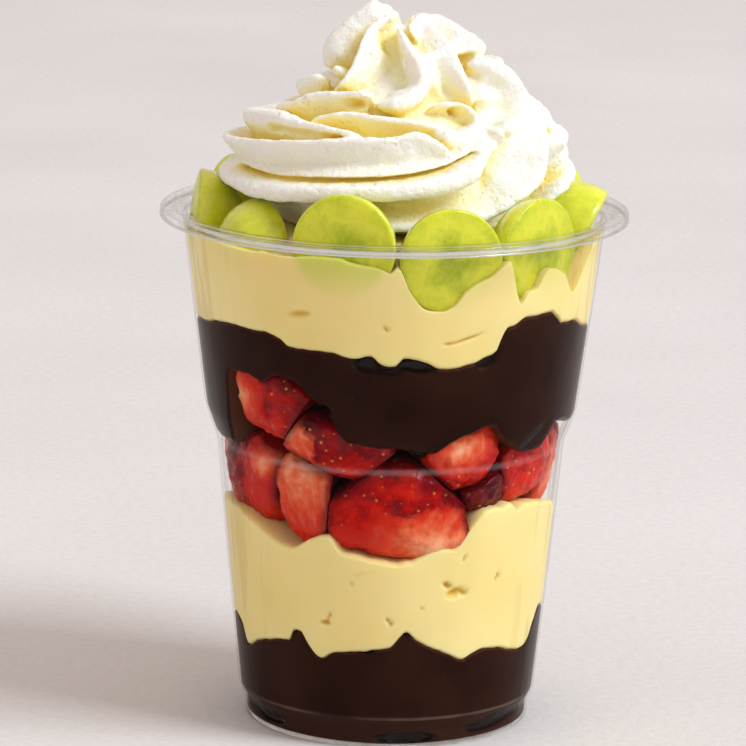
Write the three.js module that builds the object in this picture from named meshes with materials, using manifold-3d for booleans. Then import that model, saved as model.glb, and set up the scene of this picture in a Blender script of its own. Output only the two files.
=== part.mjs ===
// A layered dessert in a clear plastic cup: chocolate cream, custard, strawberries, chocolate cream
// and custard again, a ring of halved grapes at the rim and piped whipped cream on top.
// Millimetres, +Z up. The origin is the centre of the cup's foot, on the table, and the side that is
// looked at most faces -Y. Angles are in degrees round the cup, 0 at that side and growing to the right.
import * as THREE from "three";
import { mergeVertices } from "three/addons/utils/BufferGeometryUtils.js";
import Module from "manifold-3d";

// Driving dimensions
const RIM_RADIUS = 49;
const RIM_HEIGHT = 108.8;
const RIM_LIP = 1.4;
const MOUTH_RADIUS = 44.5;
const LEDGE_HEIGHT = 60.4;
const LEDGE_RADIUS = 36.6;
const FOOT_RADIUS = 30;
const WALL = 0.7;
const GAP = 0.3;

// How finely the round pieces are divided
const CUP_SIDES = 32;
const FILLING_SIDES = 36;
const GRAPE_SIDES = 12;
const BERRY_SIDES = 7;
const FOLD_STEP = 8;
const MOUND_SIDES = 12;

const wasm = await Module();
wasm.setup();
const part = new THREE.Group();

const radians = (degrees) => (degrees * Math.PI) / 180;

// A place given by its angle round the cup, its distance from the axis and its height
function place(angle, radius, height) {
  const a = radians(angle);
  return new THREE.Vector3(radius * Math.sin(a), -radius * Math.cos(a), height);
}

// A closed geometry over a row of rings with equally many points, with a fan at each end
function skin(rings) {
  const sides = rings[0].length;
  const middle = (ring) =>
    ring.reduce((sum, p) => sum.add(p), new THREE.Vector3()).divideScalar(sides);
  const points = [...rings.flat(), middle(rings[0]), middle(rings.at(-1))];
  const start = points.length - 2;
  const end = points.length - 1;
  const faces = [];
  for (let j = 0; j < sides; j++) {
    const next = (j + 1) % sides;
    faces.push(start, next, j);
    for (let i = 0; i + 1 < rings.length; i++) {
      const low = i * sides;
      const high = low + sides;
      faces.push(low + j, low + next, high + next, low + j, high + next, high + j);
    }
    const last = (rings.length - 1) * sides;
    faces.push(end, last + j, last + next);
  }
  return new THREE.BufferGeometry().setFromPoints(points).setIndex(faces);
}

function solid(geometry) {
  const bare = geometry.clone();
  bare.deleteAttribute("normal");
  bare.deleteAttribute("uv");
  const merged = mergeVertices(bare, 1e-4);
  return new wasm.Manifold(
    new wasm.Mesh({
      numProp: 3,
      vertProperties: merged.attributes.position.array,
      triVerts: new Uint32Array(merged.index.array),
    }),
  );
}

// The largest body of a shape, without its scraps and sealed hollows
function whole(shape) {
  return shape.decompose().sort((a, b) => b.volume() - a.volume())[0];
}

function addPiece(name, shape, look) {
  const mesh = shape.getMesh();
  const geometry = new THREE.BufferGeometry();
  geometry.setAttribute("position", new THREE.BufferAttribute(mesh.vertProperties, 3));
  geometry.setIndex(new THREE.BufferAttribute(mesh.triVerts, 1));
  geometry.computeVertexNormals();
  const piece = new THREE.Mesh(geometry, look);
  piece.name = name;
  part.add(piece);
}

// Turned about the cup's axis, from points of radius and height in order round the outline
function turned(outline, sides) {
  const points = outline.map(([radius, height]) => new THREE.Vector2(radius, height));
  return solid(new THREE.LatheGeometry(points, sides).rotateX(Math.PI / 2));
}

// The cup
// One thin formed wall: a foot ring round a raised floor, a rounded ledge that the upper, wider half
// stands on, and a flat rim with a turned-down lip.
const FLOOR_HEIGHT = 1.4;
const outerWall = [
  [FOOT_RADIUS - 0.7, 0],
  [FOOT_RADIUS, 0.7],
  [FOOT_RADIUS, 3.9],
  [31.3, 6.3],
  [34, 32.5],
  [LEDGE_RADIUS, LEDGE_HEIGHT],
  [37.5, 62.5],
  [39.1, 67],
  [42.8, 95.7],
  [MOUTH_RADIUS - 0.2, RIM_HEIGHT - WALL],
];
const innerWall = outerWall.slice(1).map(([radius, height]) => [radius - WALL, height]);

function makeCup() {
  const lipInside = RIM_RADIUS - WALL;
  const outline = [
    [0, FLOOR_HEIGHT],
    [FOOT_RADIUS - 5, FLOOR_HEIGHT],
    [FOOT_RADIUS - 4.2, 0],
    ...outerWall,
    [lipInside, RIM_HEIGHT - WALL - 0.3],
    [lipInside, RIM_HEIGHT - 0.3 - RIM_LIP],
    [RIM_RADIUS, RIM_HEIGHT - 0.3 - RIM_LIP],
    [RIM_RADIUS, RIM_HEIGHT - 0.3],
    [RIM_RADIUS - 1.8, RIM_HEIGHT],
    [MOUTH_RADIUS, RIM_HEIGHT],
    ...innerWall.toReversed(),
    [FOOT_RADIUS - 3.7, WALL],
    [FOOT_RADIUS - 4.5, FLOOR_HEIGHT + WALL],
    [0, FLOOR_HEIGHT + WALL],
  ];
  return turned(outline, CUP_SIDES);
}

// The room inside the cup, clear of its wall
function makeRoom() {
  const clear = innerWall.slice(1).map(([radius, height]) => [radius - GAP, height]);
  const floor = FLOOR_HEIGHT + WALL + GAP;
  const bottom = [
    [0, floor],
    [clear[0][0] - 0.3, floor],
  ];
  return turned([...bottom, ...clear, [0, RIM_HEIGHT - WALL]], CUP_SIDES);
}

// The fillings
// Each meeting of two fillings is a level with waves where it meets the wall, which die out inwards.
// A wave has its angle, its rise, its half width in degrees, and how square its shoulders are.
const wave = (at, rise, half, square = 2) => ({ at, rise, half, square });
const FADE_START = 12;
const FADE_END = 32;

function meeting(level, waves) {
  return (angle, radius) => {
    const near = THREE.MathUtils.smoothstep(radius, FADE_START, FADE_END);
    let height = level;
    for (const { at, rise, half, square } of waves) {
      const away = Math.abs(THREE.MathUtils.euclideanModulo(angle - at + 180, 360) - 180);
      height += near * rise * Math.exp(-((away / half) ** square));
    }
    return height;
  };
}

const firstChocolateTop = meeting(20.6, [
  wave(-92, 2.5, 16),
  wave(-66, -4, 6),
  wave(-38, 3.4, 6),
  wave(-27, -1.6, 6),
  wave(5, 4.4, 9),
  wave(29, -1.7, 8),
  wave(59, -3, 8),
  wave(80, 5.6, 12, 3),
  wave(118, -2.5, 12),
  wave(150, 3, 10),
  wave(196, -2.6, 12),
  wave(232, 2.4, 12),
]);
const firstCustardTop = meeting(46, [
  wave(-38, -3, 11),
  wave(-14, -3.4, 7),
  wave(4, -5, 13, 3),
  wave(21, -3.2, 6),
  wave(58, 5.2, 28, 4),
  wave(120, -3, 14),
  wave(160, 2.5, 16),
  wave(205, -4, 14),
  wave(240, 1.5, 12),
]);
const secondChocolateBottom = meeting(66, [
  wave(-85, -5, 20, 4),
  wave(-42, 12.3, 19, 6),
  wave(-19, 5, 5),
  wave(8, -3.6, 9),
  wave(29, 3.6, 10),
  wave(53, -4.4, 10, 3),
  wave(112, 5, 18, 3),
  wave(150, -3, 12),
  wave(185, 6, 16, 3),
  wave(225, -2, 14),
]);
const secondChocolateTop = meeting(85.4, [
  wave(-52, 2.4, 24, 4),
  wave(12, -2.6, 18, 4),
  wave(45, 6.6, 14, 6),
  wave(66, 3, 11),
  wave(105, -2, 16),
  wave(150, 3, 18),
  wave(200, -2.4, 16),
  wave(240, 2, 16),
]);

const CREAM_SEAT = 107;
const CREAM_SEAT_RADIUS = 33;
const CUSTARD_EDGE = 104.2;
const custardEdge = meeting(CUSTARD_EDGE, [
  wave(0, -5, 5),
  wave(30, -1.4, 7),
  wave(66, -3, 9),
  wave(130, -2, 12),
  wave(190, -2, 10),
]);
// The upper custard rises from the wall to the seat of the whipped cream
function secondCustardTop(angle, radius) {
  return radius > CREAM_SEAT_RADIUS ? custardEdge(angle, radius) : CREAM_SEAT;
}

// Everything below a meeting that is shifted by some height, out past the wall
function below(meets, shift = 0, radii = [RIM_RADIUS + 6, 33, FADE_START]) {
  const angles = Array.from({ length: FILLING_SIDES }, (_, i) => (360 * i) / FILLING_SIDES);
  const base = angles.map((angle) => place(angle, radii[0], -1));
  const rings = radii.map((radius) =>
    angles.map((angle) => place(angle, radius, meets(angle, radius) + shift)),
  );
  return solid(skin([base, ...rings]));
}

// The strawberries
// Cut chunks, two rows of them against the wall and a few that fill the middle. Each is an egg that is
// cut by the wall, by the fillings and, where two meet, by the plane between them.
const berry = (angle, radius, height, across, deep, tall, roll = 0) => {
  return { angle, radius, height, across, deep, tall, roll };
};
const BERRIES = [
  berry(-43, 30.5, 72.5, 22, 17, 15.5, -12),
  berry(-21, 28.5, 64.5, 27, 17, 12.5, -14),
  berry(-31, 27.5, 52.5, 15, 15, 21, 12),
  berry(-63, 26, 54.5, 22, 16, 19, 8),
  berry(3, 26, 50.8, 34, 19, 21, -10),
  berry(26.5, 28.5, 62.6, 17, 15, 15, 10),
  berry(35, 27, 54.6, 15, 15, 9, 0),
  berry(57, 27, 57.8, 20, 16, 15, 6),
  berry(92, 26, 55.5, 22, 17, 19, -8),
  berry(121, 27, 63.5, 23, 17, 15, 10),
  berry(126, 26, 50.5, 21, 17, 15, -12),
  berry(158, 26, 57.5, 22, 17, 20, 6),
  berry(187, 27, 63.5, 22, 17, 17, -10),
  berry(192, 26, 49.5, 22, 17, 15, 12),
  berry(222, 26, 56.5, 22, 17, 19, 0),
  berry(252, 25, 53, 19, 16, 16, -8),
  berry(20, 9, 56.5, 22, 18, 21, 20),
  berry(145, 10, 56, 22, 18, 20, -15),
  berry(262, 10, 57, 22, 19, 21, 10),
];
const TIP_NARROWS = 0.35;

// The three axes of a chunk, each as long as its half size: round the cup, outwards and up
function berryAxes({ angle, across, deep, tall, roll }) {
  const out = place(angle, 1, 0);
  const round = place(angle + 90, 1, 0).applyAxisAngle(out, radians(roll));
  const up = new THREE.Vector3(0, 0, 1).applyAxisAngle(out, radians(roll));
  return [round.multiplyScalar(across / 2), out.multiplyScalar(deep / 2), up.multiplyScalar(tall / 2)];
}

// An egg with its narrow end down
function egg(chunk) {
  const centre = place(chunk.angle, chunk.radius, chunk.height);
  const [round, out, up] = berryAxes(chunk);
  const rings = [];
  const rows = 5;
  for (let i = 1; i < rows; i++) {
    const climb = (Math.PI * i) / rows;
    const level = -Math.cos(climb);
    const wide = Math.sin(climb) * (1 + (TIP_NARROWS / 2) * level);
    rings.push(
      Array.from({ length: BERRY_SIDES }, (_, j) => {
        const turn = (2 * Math.PI * j) / BERRY_SIDES;
        return centre
          .clone()
          .addScaledVector(round, wide * Math.cos(turn))
          .addScaledVector(out, -wide * Math.sin(turn))
          .addScaledVector(up, level);
      }),
    );
  }
  return solid(skin(rings));
}

// How far a chunk reaches from its centre along a direction
function reach(chunk, direction) {
  return Math.hypot(...berryAxes(chunk).map((axis) => axis.dot(direction)));
}

// Cuts every two chunks that meet by a plane midway through what they share
function partBerries(chunks) {
  const shapes = chunks.map(egg);
  const centres = chunks.map(({ angle, radius, height }) => place(angle, radius, height));
  chunks.forEach((first, i) =>
    chunks.slice(i + 1).forEach((second, k) => {
      const j = i + 1 + k;
      const apart = centres[j].clone().sub(centres[i]);
      const distance = apart.length();
      const towards = apart.normalize();
      const firstEnd = reach(first, towards) * (1 + TIP_NARROWS / 4);
      const secondStart = distance - reach(second, towards) * (1 + TIP_NARROWS / 4);
      if (firstEnd < secondStart) return;
      const plane = centres[i].dot(towards) + (firstEnd + secondStart) / 2;
      const back = towards.clone().negate();
      shapes[i] = shapes[i].trimByPlane(back.toArray(), GAP / 2 - plane);
      shapes[j] = shapes[j].trimByPlane(towards.toArray(), plane + GAP / 2);
    }),
  );
  return shapes;
}

// The grapes
// Halves that stand in a ring with their cut faces against the wall. Each has its angle, the distance of
// its cut face from the axis, its height, its radius, how far the face's top leans outwards and how deep
// the half is for its radius. A half that is turned round shows its skin and has a depth below 0.
const GRAPE_DEPTH = 0.94;
const grape = (angle, face, height, radius, lean = 0, depth = GRAPE_DEPTH) => ({
  angle,
  face,
  height,
  radius,
  lean,
  depth,
});
const GRAPES = [
  grape(-87, 41.2, 106.3, 10.2, -4),
  grape(-55, 32.6, 103.6, 9.8, 0, -GRAPE_DEPTH),
  grape(-14.5, 41, 107.2, 10.7),
  grape(16.5, 41, 104.6, 10.7),
  grape(47.5, 40.6, 105, 10.7),
  grape(83, 40.2, 105, 9.6, 28, 1.4),
  grape(114, 40.8, 106, 10.4, -6),
  grape(145, 40.6, 107.4, 10.5),
  grape(176.5, 40.8, 105.2, 10.4, -4),
  grape(208, 40.6, 107, 10.4),
  grape(239, 40.8, 105.8, 10.2),
];
const WALL_SIDE = 3;

// grow and beyond enlarge the half and carry its face on outwards, for the room that it takes
function halfGrape({ angle, face, height, radius, lean, depth }, grow = 0, beyond = 0) {
  const faceOut = depth > 0;
  const flat = place(angle, 1, 0);
  const across = place(angle + 90, 1, 0);
  const out = flat.applyAxisAngle(across, radians(lean));
  const up = new THREE.Vector3().crossVectors(across, out).negate();
  const centre = place(angle, face, height);
  const size = radius + grow;
  const ring = (wide, along) =>
    Array.from({ length: GRAPE_SIDES }, (_, j) => {
      const turn = (2 * Math.PI * j) / GRAPE_SIDES;
      return centre
        .clone()
        .addScaledVector(across, wide * Math.cos(turn))
        .addScaledVector(up, wide * Math.sin(turn))
        .addScaledVector(out, along);
    });
  const dome = [20, 45, 70].map((degrees) =>
    ring(size * Math.sin(radians(degrees)), -size * depth * Math.cos(radians(degrees))),
  );
  const rounding = beyond ? 0 : 0.6;
  const edge = ring(size, faceOut ? -rounding : rounding);
  const rings = [...dome, edge, ring(size - rounding, faceOut ? grow + beyond : -grow)];
  return solid(skin(faceOut ? rings : rings.reverse()));
}

// The whipped cream
// A mound with folds standing on it, as a fluted nozzle leaves them. The lower folds climb to the right
// and come round again from behind, the upper ones run down from the top like petals.
const moundOutline = [
  [0, CREAM_SEAT + GAP],
  [25, CREAM_SEAT + GAP],
  [28, 117],
  [22.5, 126.5],
  [14, 134],
  [8.5, 138],
  [3.5, 146],
  [0, 147.5],
];

// A fold is drawn by a few places along its crest, each an angle, a distance from the axis and a height.
// lift is how steeply it stands up, and it is deep from crest to root. Its crest has a half thickness of
// edge, its root reaches low to the lower or left side and high to the other one. A list of lifts or of
// sizes is spread evenly along the fold, and a blunt end stays that thick.
const fold = (crest, lift, deep, low, high, edge = 0.7, blunt = 1) => ({
  crest: new THREE.CatmullRomCurve3(
    crest.map((at) => new THREE.Vector3(...at)),
    false,
    "catmullrom",
    0.5,
  ),
  lift,
  deep,
  low,
  high,
  edge,
  blunt,
});

const lowestFold = [
  [-250, 34.3, 113.4],
  [-165, 35.6, 114.6],
  [-78, 36.4, 116.8],
  [-45, 36.4, 116.8],
  [0, 35.4, 118.8],
  [22, 34.4, 121],
  [36, 32.4, 124.6],
  [52, 29.2, 129.5],
];
const secondFold = [
  [70, 36, 114],
  [90, 37.4, 117.4],
  [180, 36.4, 120.6],
  [282, 35.8, 124.2],
  [320, 33, 126.4],
  [350, 31.6, 128],
  [368, 30.9, 129.4],
  [378, 30.6, 126.6],
  [393, 29, 122.9],
];
const thirdFold = [
  [72, 34.4, 126.6],
  [100, 35.2, 125.2],
  [200, 32.4, 126.8],
  [272, 31.2, 128.8],
  [305, 30, 130.6],
  [352, 30.7, 128],
];
const thinFoldWithLoop = [
  [-50, 26, 127.6],
  [-26, 25, 131.9],
  [8, 25, 130.8],
  [35, 24.6, 127.9],
  [44, 23.8, 130.8],
  [36, 21.6, 133.4],
  [18, 19.6, 133],
];
const rightLobe = [
  [-20, 33, 111.5],
  [10, 33, 111.2],
  [34, 33.5, 112.2],
  [54, 36.6, 118.3],
  [62, 35.4, 125],
  [100, 29.5, 131.5],
];
const fourthFold = [
  [90, 29.8, 131],
  [180, 26.6, 131.4],
  [271, 24.6, 130],
  [308, 22.8, 134.3],
  [334, 21, 135.6],
  [348, 21.2, 134.6],
];
const upperRightLobe = [
  [50, 20, 142],
  [72, 25.2, 138.6],
  [76, 27.6, 135],
  [66, 29.4, 130],
  [47, 28, 128.6],
];
const highestFold = [
  [60, 22.6, 141],
  [150, 21, 138],
  [240, 20.6, 134.2],
  [286, 19.6, 136.6],
  [304, 16.5, 137.4],
];
const leftPetal = [
  [-40, 3.5, 152.2],
  [-70, 8.6, 149.4],
  [-80, 13.4, 144],
  [-80, 15.6, 139.4],
];
const frontPetal = [
  [-2, 4.5, 149.4],
  [-30, 8.2, 148.6],
  [-35, 13.2, 144.2],
  [-35, 16.8, 138.8],
  [-48, 19.8, 134.6],
];
const middlePetal = [
  [2, 6, 148.8],
  [17, 13, 143.8],
  [23.5, 17.8, 138.6],
  [10, 21, 134.4],
  [-9, 21.6, 133.6],
];
const rightPetal = [
  [60, 5, 149.6],
  [62, 12, 144.8],
  [46, 19, 139],
  [50, 22.6, 133.8],
];
const farRightPetal = [
  [100, 4, 150.2],
  [89, 9.5, 149],
  [79, 17, 145],
  [67.5, 20.3, 141],
];
// The petals at the back lean to the left as they run down
const backPetal = (angle, top) => [
  [angle + 8, 4, top],
  [angle + 6, 9.5, top - 2],
  [angle, 14, top - 6.5],
  [angle - 12, 18.8, top - 11.5],
];

const FOLDS = [
  fold(lowestFold, [-8, -8, -8, -4, 4, 14], 11, 3.4, 3.2, 2),
  fold(secondFold, [34, 38, 40, 30], 11, 3.8, 3, [2, 1.2, 0.7, 0.7]),
  fold([[16, 26, 129.2], [28, 28.6, 127], [47, 26, 130]], 15, 8, 2.6, 2.6, 1.9),
  fold(thirdFold, 45, 11, 4.4, 3.6, [2, 1.2, 1.2, 2.2, 0.7]),
  fold(thinFoldWithLoop, 35, [9, 9, 6], [4, 4, 1.4], [2.5, 2.5, 1.4], 0.7),
  fold(rightLobe, [0, 0, 10, 30], 12, 3, 9, 0.9),
  fold(fourthFold, 45, 9, 4, 2.6, [1.4, 1, 0.8, 0.7]),
  fold(upperRightLobe, 25, 9, 4, 6, 1.5),
  fold([[54, 14, 141.5], [66, 22, 135], [62, 24.5, 131]], 35, 12, 6, 6, 4.4),
  fold(highestFold, 50, 9, 4.5, 3.5, 1, 3),
  fold([[-62, 16.2, 138.6], [-50, 16.8, 139.4], [-39, 16.8, 138.6]], 30, 6, 2.5, 2, 0.8, 2),
  fold(leftPetal, 20, 10, 5.5, 4, 3.4, 3),
  fold(frontPetal, 12, 9, 1.6, 3.4, 0.7),
  fold(middlePetal, 12, 8, [1.4, 1.8, 3, 3], [2, 2.4, 3, 3], [0.7, 0.8, 1.6, 1.6]),
  fold(rightPetal, 10, 10, 6, 2.5, 0.8),
  fold(farRightPetal, 20, 10, 5, 5, 1.2),
  fold(backPetal(134, 150), 15, 10, 4, 6, 1),
  fold(backPetal(180, 150.4), 15, 10, 4, 6, 1),
  fold(backPetal(226, 150.8), 15, 10, 4, 6, 1),
];
const FOLD_TAPER = 4;
const FOLD_HOLLOW = 1.2;
const FOLD_SAMPLES = 60;

// A value at t along a fold, where a list is spread evenly over it
function spread(value, t) {
  if (!Array.isArray(value)) return value;
  const last = value.length - 1;
  const i = Math.min(Math.floor(t * last), last - 1);
  return THREE.MathUtils.lerp(value[i], value[i + 1], t * last - i);
}

function makeFold({ crest, lift, deep, low, high, edge, blunt }) {
  const samples = crest.getPoints(FOLD_SAMPLES).map((at) => place(...at.toArray()));
  const run = new THREE.CatmullRomCurve3(samples);
  const length = run.getLength();
  const steps = Math.max(3, Math.round(length / FOLD_STEP));
  const rings = [];
  for (let i = 0; i <= steps; i++) {
    const t = run.getUtoTmapping(i / steps);
    const at = run.getPoint(t);
    const along = run.getTangent(t);
    const rise = radians(spread(lift, t));
    const outwards = new THREE.Vector3(at.x, at.y, 0).setLength(Math.cos(rise)).setZ(Math.sin(rise));
    outwards.addScaledVector(along, -outwards.dot(along)).normalize();
    const across = new THREE.Vector3().crossVectors(along, outwards);
    // Both ends of a fold sink into the mound, and no root reaches past the axis
    const fromEnd = (length * Math.min(i, steps - i)) / steps;
    const full = Math.min(1, (fromEnd + blunt) / (FOLD_TAPER + blunt)) ** 0.6;
    const depth = Math.min(spread(deep, t), Math.hypot(at.x, at.y) + 0.5);
    const nose = spread(edge, t);
    const point = (side, root, share) => {
      const half = share ? nose + (root - nose) * share ** FOLD_HOLLOW : nose * 0.6;
      return at
        .clone()
        .addScaledVector(outwards, -depth * (share + (1 - full) * 0.4))
        .addScaledVector(across, side * half * full);
    };
    rings.push([
      ...[1, 0].map((share) => point(-1, spread(high, t), share)),
      ...[0, 0.3, 1].map((share) => point(1, spread(low, t), share)),
    ]);
  }
  return solid(skin(rings));
}

function makeCream() {
  const mound = turned(moundOutline, MOUND_SIDES);
  const cream = FOLDS.reduce((sum, each) => sum.add(makeFold(each)), mound);
  return cream.trimByPlane([0, 0, 1], CREAM_SEAT + GAP);
}

const look = (color, roughness, opacity = 1) => {
  const transparent = opacity < 1;
  return new THREE.MeshStandardMaterial({ color, roughness, metalness: 0, transparent, opacity });
};
const looks = {
  cup: look(0xf2f4f5, 0.08, 0.3),
  chocolate: look(0x3a1c12, 0.35),
  custard: look(0xf3dd92, 0.45),
  strawberry: look(0xc41a10, 0.4),
  grape: look(0xb3bf2c, 0.3),
  cream: look(0xfdf8ea, 0.6),
};

const room = makeRoom();
addPiece("cup", makeCup(), looks.cup);
addPiece("lower_chocolate", room.intersect(below(firstChocolateTop, -GAP)), looks.chocolate);
const lowerCustard = room.intersect(below(firstCustardTop)).subtract(below(firstChocolateTop));
addPiece("lower_custard", lowerCustard, looks.custard);

const berryRoom = room.intersect(below(secondChocolateBottom, -GAP)).subtract(below(firstCustardTop, GAP));
partBerries(BERRIES).forEach((shape, i) => {
  const number = String(i + 1).padStart(2, "0");
  addPiece("strawberry_" + number, shape.intersect(berryRoom), looks.strawberry);
});

const underCustard = room.intersect(below(secondChocolateTop, -GAP));
addPiece("upper_chocolate", underCustard.subtract(below(secondChocolateBottom)), looks.chocolate);
const custardTop = below(secondCustardTop, 0, [RIM_RADIUS + 6, MOUTH_RADIUS - 3, CREAM_SEAT_RADIUS]);
let upperCustard = room.intersect(custardTop).subtract(below(secondChocolateTop));
let cream = makeCream();
GRAPES.forEach((half, i) => {
  const number = String(i + 1).padStart(2, "0");
  addPiece("grape_" + number, halfGrape(half), looks.grape);
  const clearance = halfGrape(half, GAP, WALL_SIDE);
  upperCustard = upperCustard.subtract(clearance);
  cream = cream.subtract(clearance);
});
addPiece("upper_custard", whole(upperCustard), looks.custard);
addPiece("whipped_cream", whole(cream), looks.cream);

export default part;
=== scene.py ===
"""A layered dessert in a clear plastic cup, topped with halved grapes and whipped cream, on a pale floor.

Sizes in the sections are in millimetres and angles in degrees, as in the solids: angle 0 is the side
that is looked at most, and angles grow to the right. MM turns them into Blender's metres.
"""

import math

import bpy
import numpy as np
from mathutils import Matrix, Vector, noise
from mathutils.bvhtree import BVHTree


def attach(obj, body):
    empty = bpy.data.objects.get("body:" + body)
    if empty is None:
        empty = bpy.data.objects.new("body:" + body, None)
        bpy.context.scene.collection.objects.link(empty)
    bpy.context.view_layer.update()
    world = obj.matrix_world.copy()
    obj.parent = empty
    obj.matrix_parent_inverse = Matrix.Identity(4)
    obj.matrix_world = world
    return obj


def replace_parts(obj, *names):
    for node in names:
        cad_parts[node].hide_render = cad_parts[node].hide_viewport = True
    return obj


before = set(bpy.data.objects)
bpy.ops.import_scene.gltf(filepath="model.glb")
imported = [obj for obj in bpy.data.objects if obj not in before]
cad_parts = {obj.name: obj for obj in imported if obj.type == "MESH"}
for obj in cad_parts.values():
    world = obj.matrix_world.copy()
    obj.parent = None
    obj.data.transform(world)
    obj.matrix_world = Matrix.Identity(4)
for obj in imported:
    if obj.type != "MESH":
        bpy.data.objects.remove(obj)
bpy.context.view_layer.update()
MM = 0.001

# Floor, lamps and camera
# The cup stands on a pale plaster board in a bright room. One big window lamp stands far to its right and
# a little in front, the room fills in the rest, and the camera looks slightly down.
CAMERA_PLACE = (-3.89, -964.4, 279.1)
CAMERA_PITCH = 77.95
CAMERA_ROLL = 0.95
LENS = 226.4
FLOOR_WIDTH = 4000


def place(angle, radius, height):
    """A point given by its angle round the cup, its distance from the axis and its height."""
    turn = math.radians(angle)
    return Vector((radius * math.sin(turn), -radius * math.cos(turn), height)) * MM


def start_material(name, **sockets):
    """A material, its node tree and its Principled shader, with the sockets' constants set."""
    material = bpy.data.materials.new(name)
    material.use_nodes = True
    shader = material.node_tree.nodes["Principled BSDF"]
    for socket, value in sockets.items():
        shader.inputs[socket.replace("_", " ")].default_value = value
    return material, material.node_tree, shader


def add_node(tree, kind, inputs=(), **settings):
    """A new node. Each of its inputs is a value to set or another node's output to link."""
    node = tree.nodes.new("ShaderNode" + kind)
    for name, value in settings.items():
        setattr(node, name, value)
    for key, value in dict(inputs).items():
        if isinstance(value, bpy.types.NodeSocket):
            tree.links.new(value, node.inputs[key])
        else:
            node.inputs[key].default_value = value
    return node


def object_place(tree):
    """The Object coordinates, on which the patterns lie."""
    return add_node(tree, "TexCoord").outputs["Object"]


def mottle(tree, vector, size, detail=2.0, rough=0.5):
    """A soft pattern from 0 to 1 whose spots are about size millimetres wide."""
    inputs = {"Vector": vector, "Scale": 1 / (size * MM), "Detail": detail, "Roughness": rough}
    return add_node(tree, "TexNoise", inputs).outputs["Fac"]


def ramp(tree, factor, *stops):
    """Colours along a factor, each stop being a position and a colour of three numbers."""
    node = add_node(tree, "ValToRGB", {"Fac": factor})
    elements = node.color_ramp.elements
    while len(elements) < len(stops):
        elements.new(0.5)
    for element, (position, colour) in zip(elements, stops):
        element.position = position
        element.color = (*colour, 1)
    return node.outputs["Color"]


def joined(tree, operation, *values):
    """Numbers or outputs put together by one operation."""
    return add_node(tree, "Math", dict(enumerate(values)), operation=operation).outputs[0]


def marked(tree, name):
    """A number that the points of a piece carry."""
    return add_node(tree, "Attribute", attribute_name=name).outputs["Fac"]


def stretched(tree, vector, *scales):
    """Coordinates scaled along each axis. Below 1 a pattern on them is drawn out that way."""
    return add_node(tree, "Mapping", {"Vector": vector, "Scale": scales}).outputs["Vector"]


def between(tree, value, low, high, to_low=0.0, to_high=1.0):
    """The value carried from one range to another and held inside it."""
    inputs = {"Value": value, "From Min": low, "From Max": high, "To Min": to_low, "To Max": to_high}
    return add_node(tree, "MapRange", inputs).outputs["Result"]


def climbing(tree, height, start, end, low=0.0, high=1.0):
    """A number that changes as the height passes from one level to another, both in millimetres."""
    return between(tree, height, start * MM, end * MM, low, high)


def mixed(tree, factor, first, second, blend="MIX"):
    """Two colours mixed by a factor."""
    node = add_node(tree, "Mix", data_type="RGBA", blend_type=blend)
    for key, value in ((0, factor), (6, first), (7, second)):
        if isinstance(value, bpy.types.NodeSocket):
            tree.links.new(value, node.inputs[key])
        elif key == 0:
            node.inputs[key].default_value = value
        else:
            node.inputs[key].default_value = (*value, 1)
    return node.outputs[2]


def relief(tree, shader, height, depth, strength=1.0):
    """Bump on a shader from a height pattern, depth in millimetres."""
    inputs = {"Height": height, "Distance": depth * MM, "Strength": strength}
    tree.links.new(add_node(tree, "Bump", inputs).outputs["Normal"], shader.inputs["Normal"])


floor_look, tree, shader = start_material("plaster", Roughness=0.75, Specular_IOR_Level=0.25)
where = object_place(tree)
clouds = mottle(tree, where, 160, 3)
grain = mottle(tree, where, 2.2, 5, 0.62)
pale = ramp(tree, clouds, (0.3, (0.70, 0.665, 0.655)), (0.7, (0.76, 0.725, 0.715)))
shade = ramp(tree, grain, (0.32, (0.93, 0.93, 0.925)), (0.62, (1.0, 1.0, 1.0)))
tree.links.new(mixed(tree, 1.0, pale, shade, "MULTIPLY"), shader.inputs["Base Color"])
relief(tree, shader, grain, 0.35, 0.5)
bpy.ops.object.select_all(action="DESELECT")
bpy.ops.mesh.primitive_plane_add(size=FLOOR_WIDTH * MM)
floor = bpy.context.active_object
floor.name = "floor"
floor.data.materials.append(floor_look)


WINDOW_BEARING = 65
WINDOW_RISE = 45
WINDOW_DISTANCE = 4000
light = bpy.data.lights.new("window", "AREA")
light.size = 1.5
light.energy = 128
light.color = (0.84, 0.93, 1.0)
window = bpy.data.objects.new("window", light)
flat_distance = WINDOW_DISTANCE * math.cos(math.radians(WINDOW_RISE))
window.location = place(WINDOW_BEARING, flat_distance, WINDOW_DISTANCE * math.sin(math.radians(WINDOW_RISE)))
window.rotation_euler = (-window.location).to_track_quat("-Z", "Y").to_euler()
bpy.context.scene.collection.objects.link(window)
world = bpy.data.worlds.new("room light")
world.use_nodes = True
world.node_tree.nodes["Background"].inputs["Color"].default_value = (1.0, 0.90, 0.85, 1)
world.node_tree.nodes["Background"].inputs["Strength"].default_value = 0.72
bpy.context.scene.world = world

lens = bpy.data.cameras.new("camera")
lens.lens = LENS
lens.sensor_width = 36
camera = bpy.data.objects.new("camera", lens)
tilt = Matrix.Rotation(math.radians(CAMERA_PITCH), 4, "X")
roll = Matrix.Rotation(math.radians(CAMERA_ROLL), 4, "Z")
camera.matrix_world = Matrix.Translation(Vector(CAMERA_PLACE) * MM) @ tilt @ roll
bpy.context.scene.collection.objects.link(camera)
bpy.context.scene.camera = camera
bpy.context.scene.view_settings.view_transform = "Standard"

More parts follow.
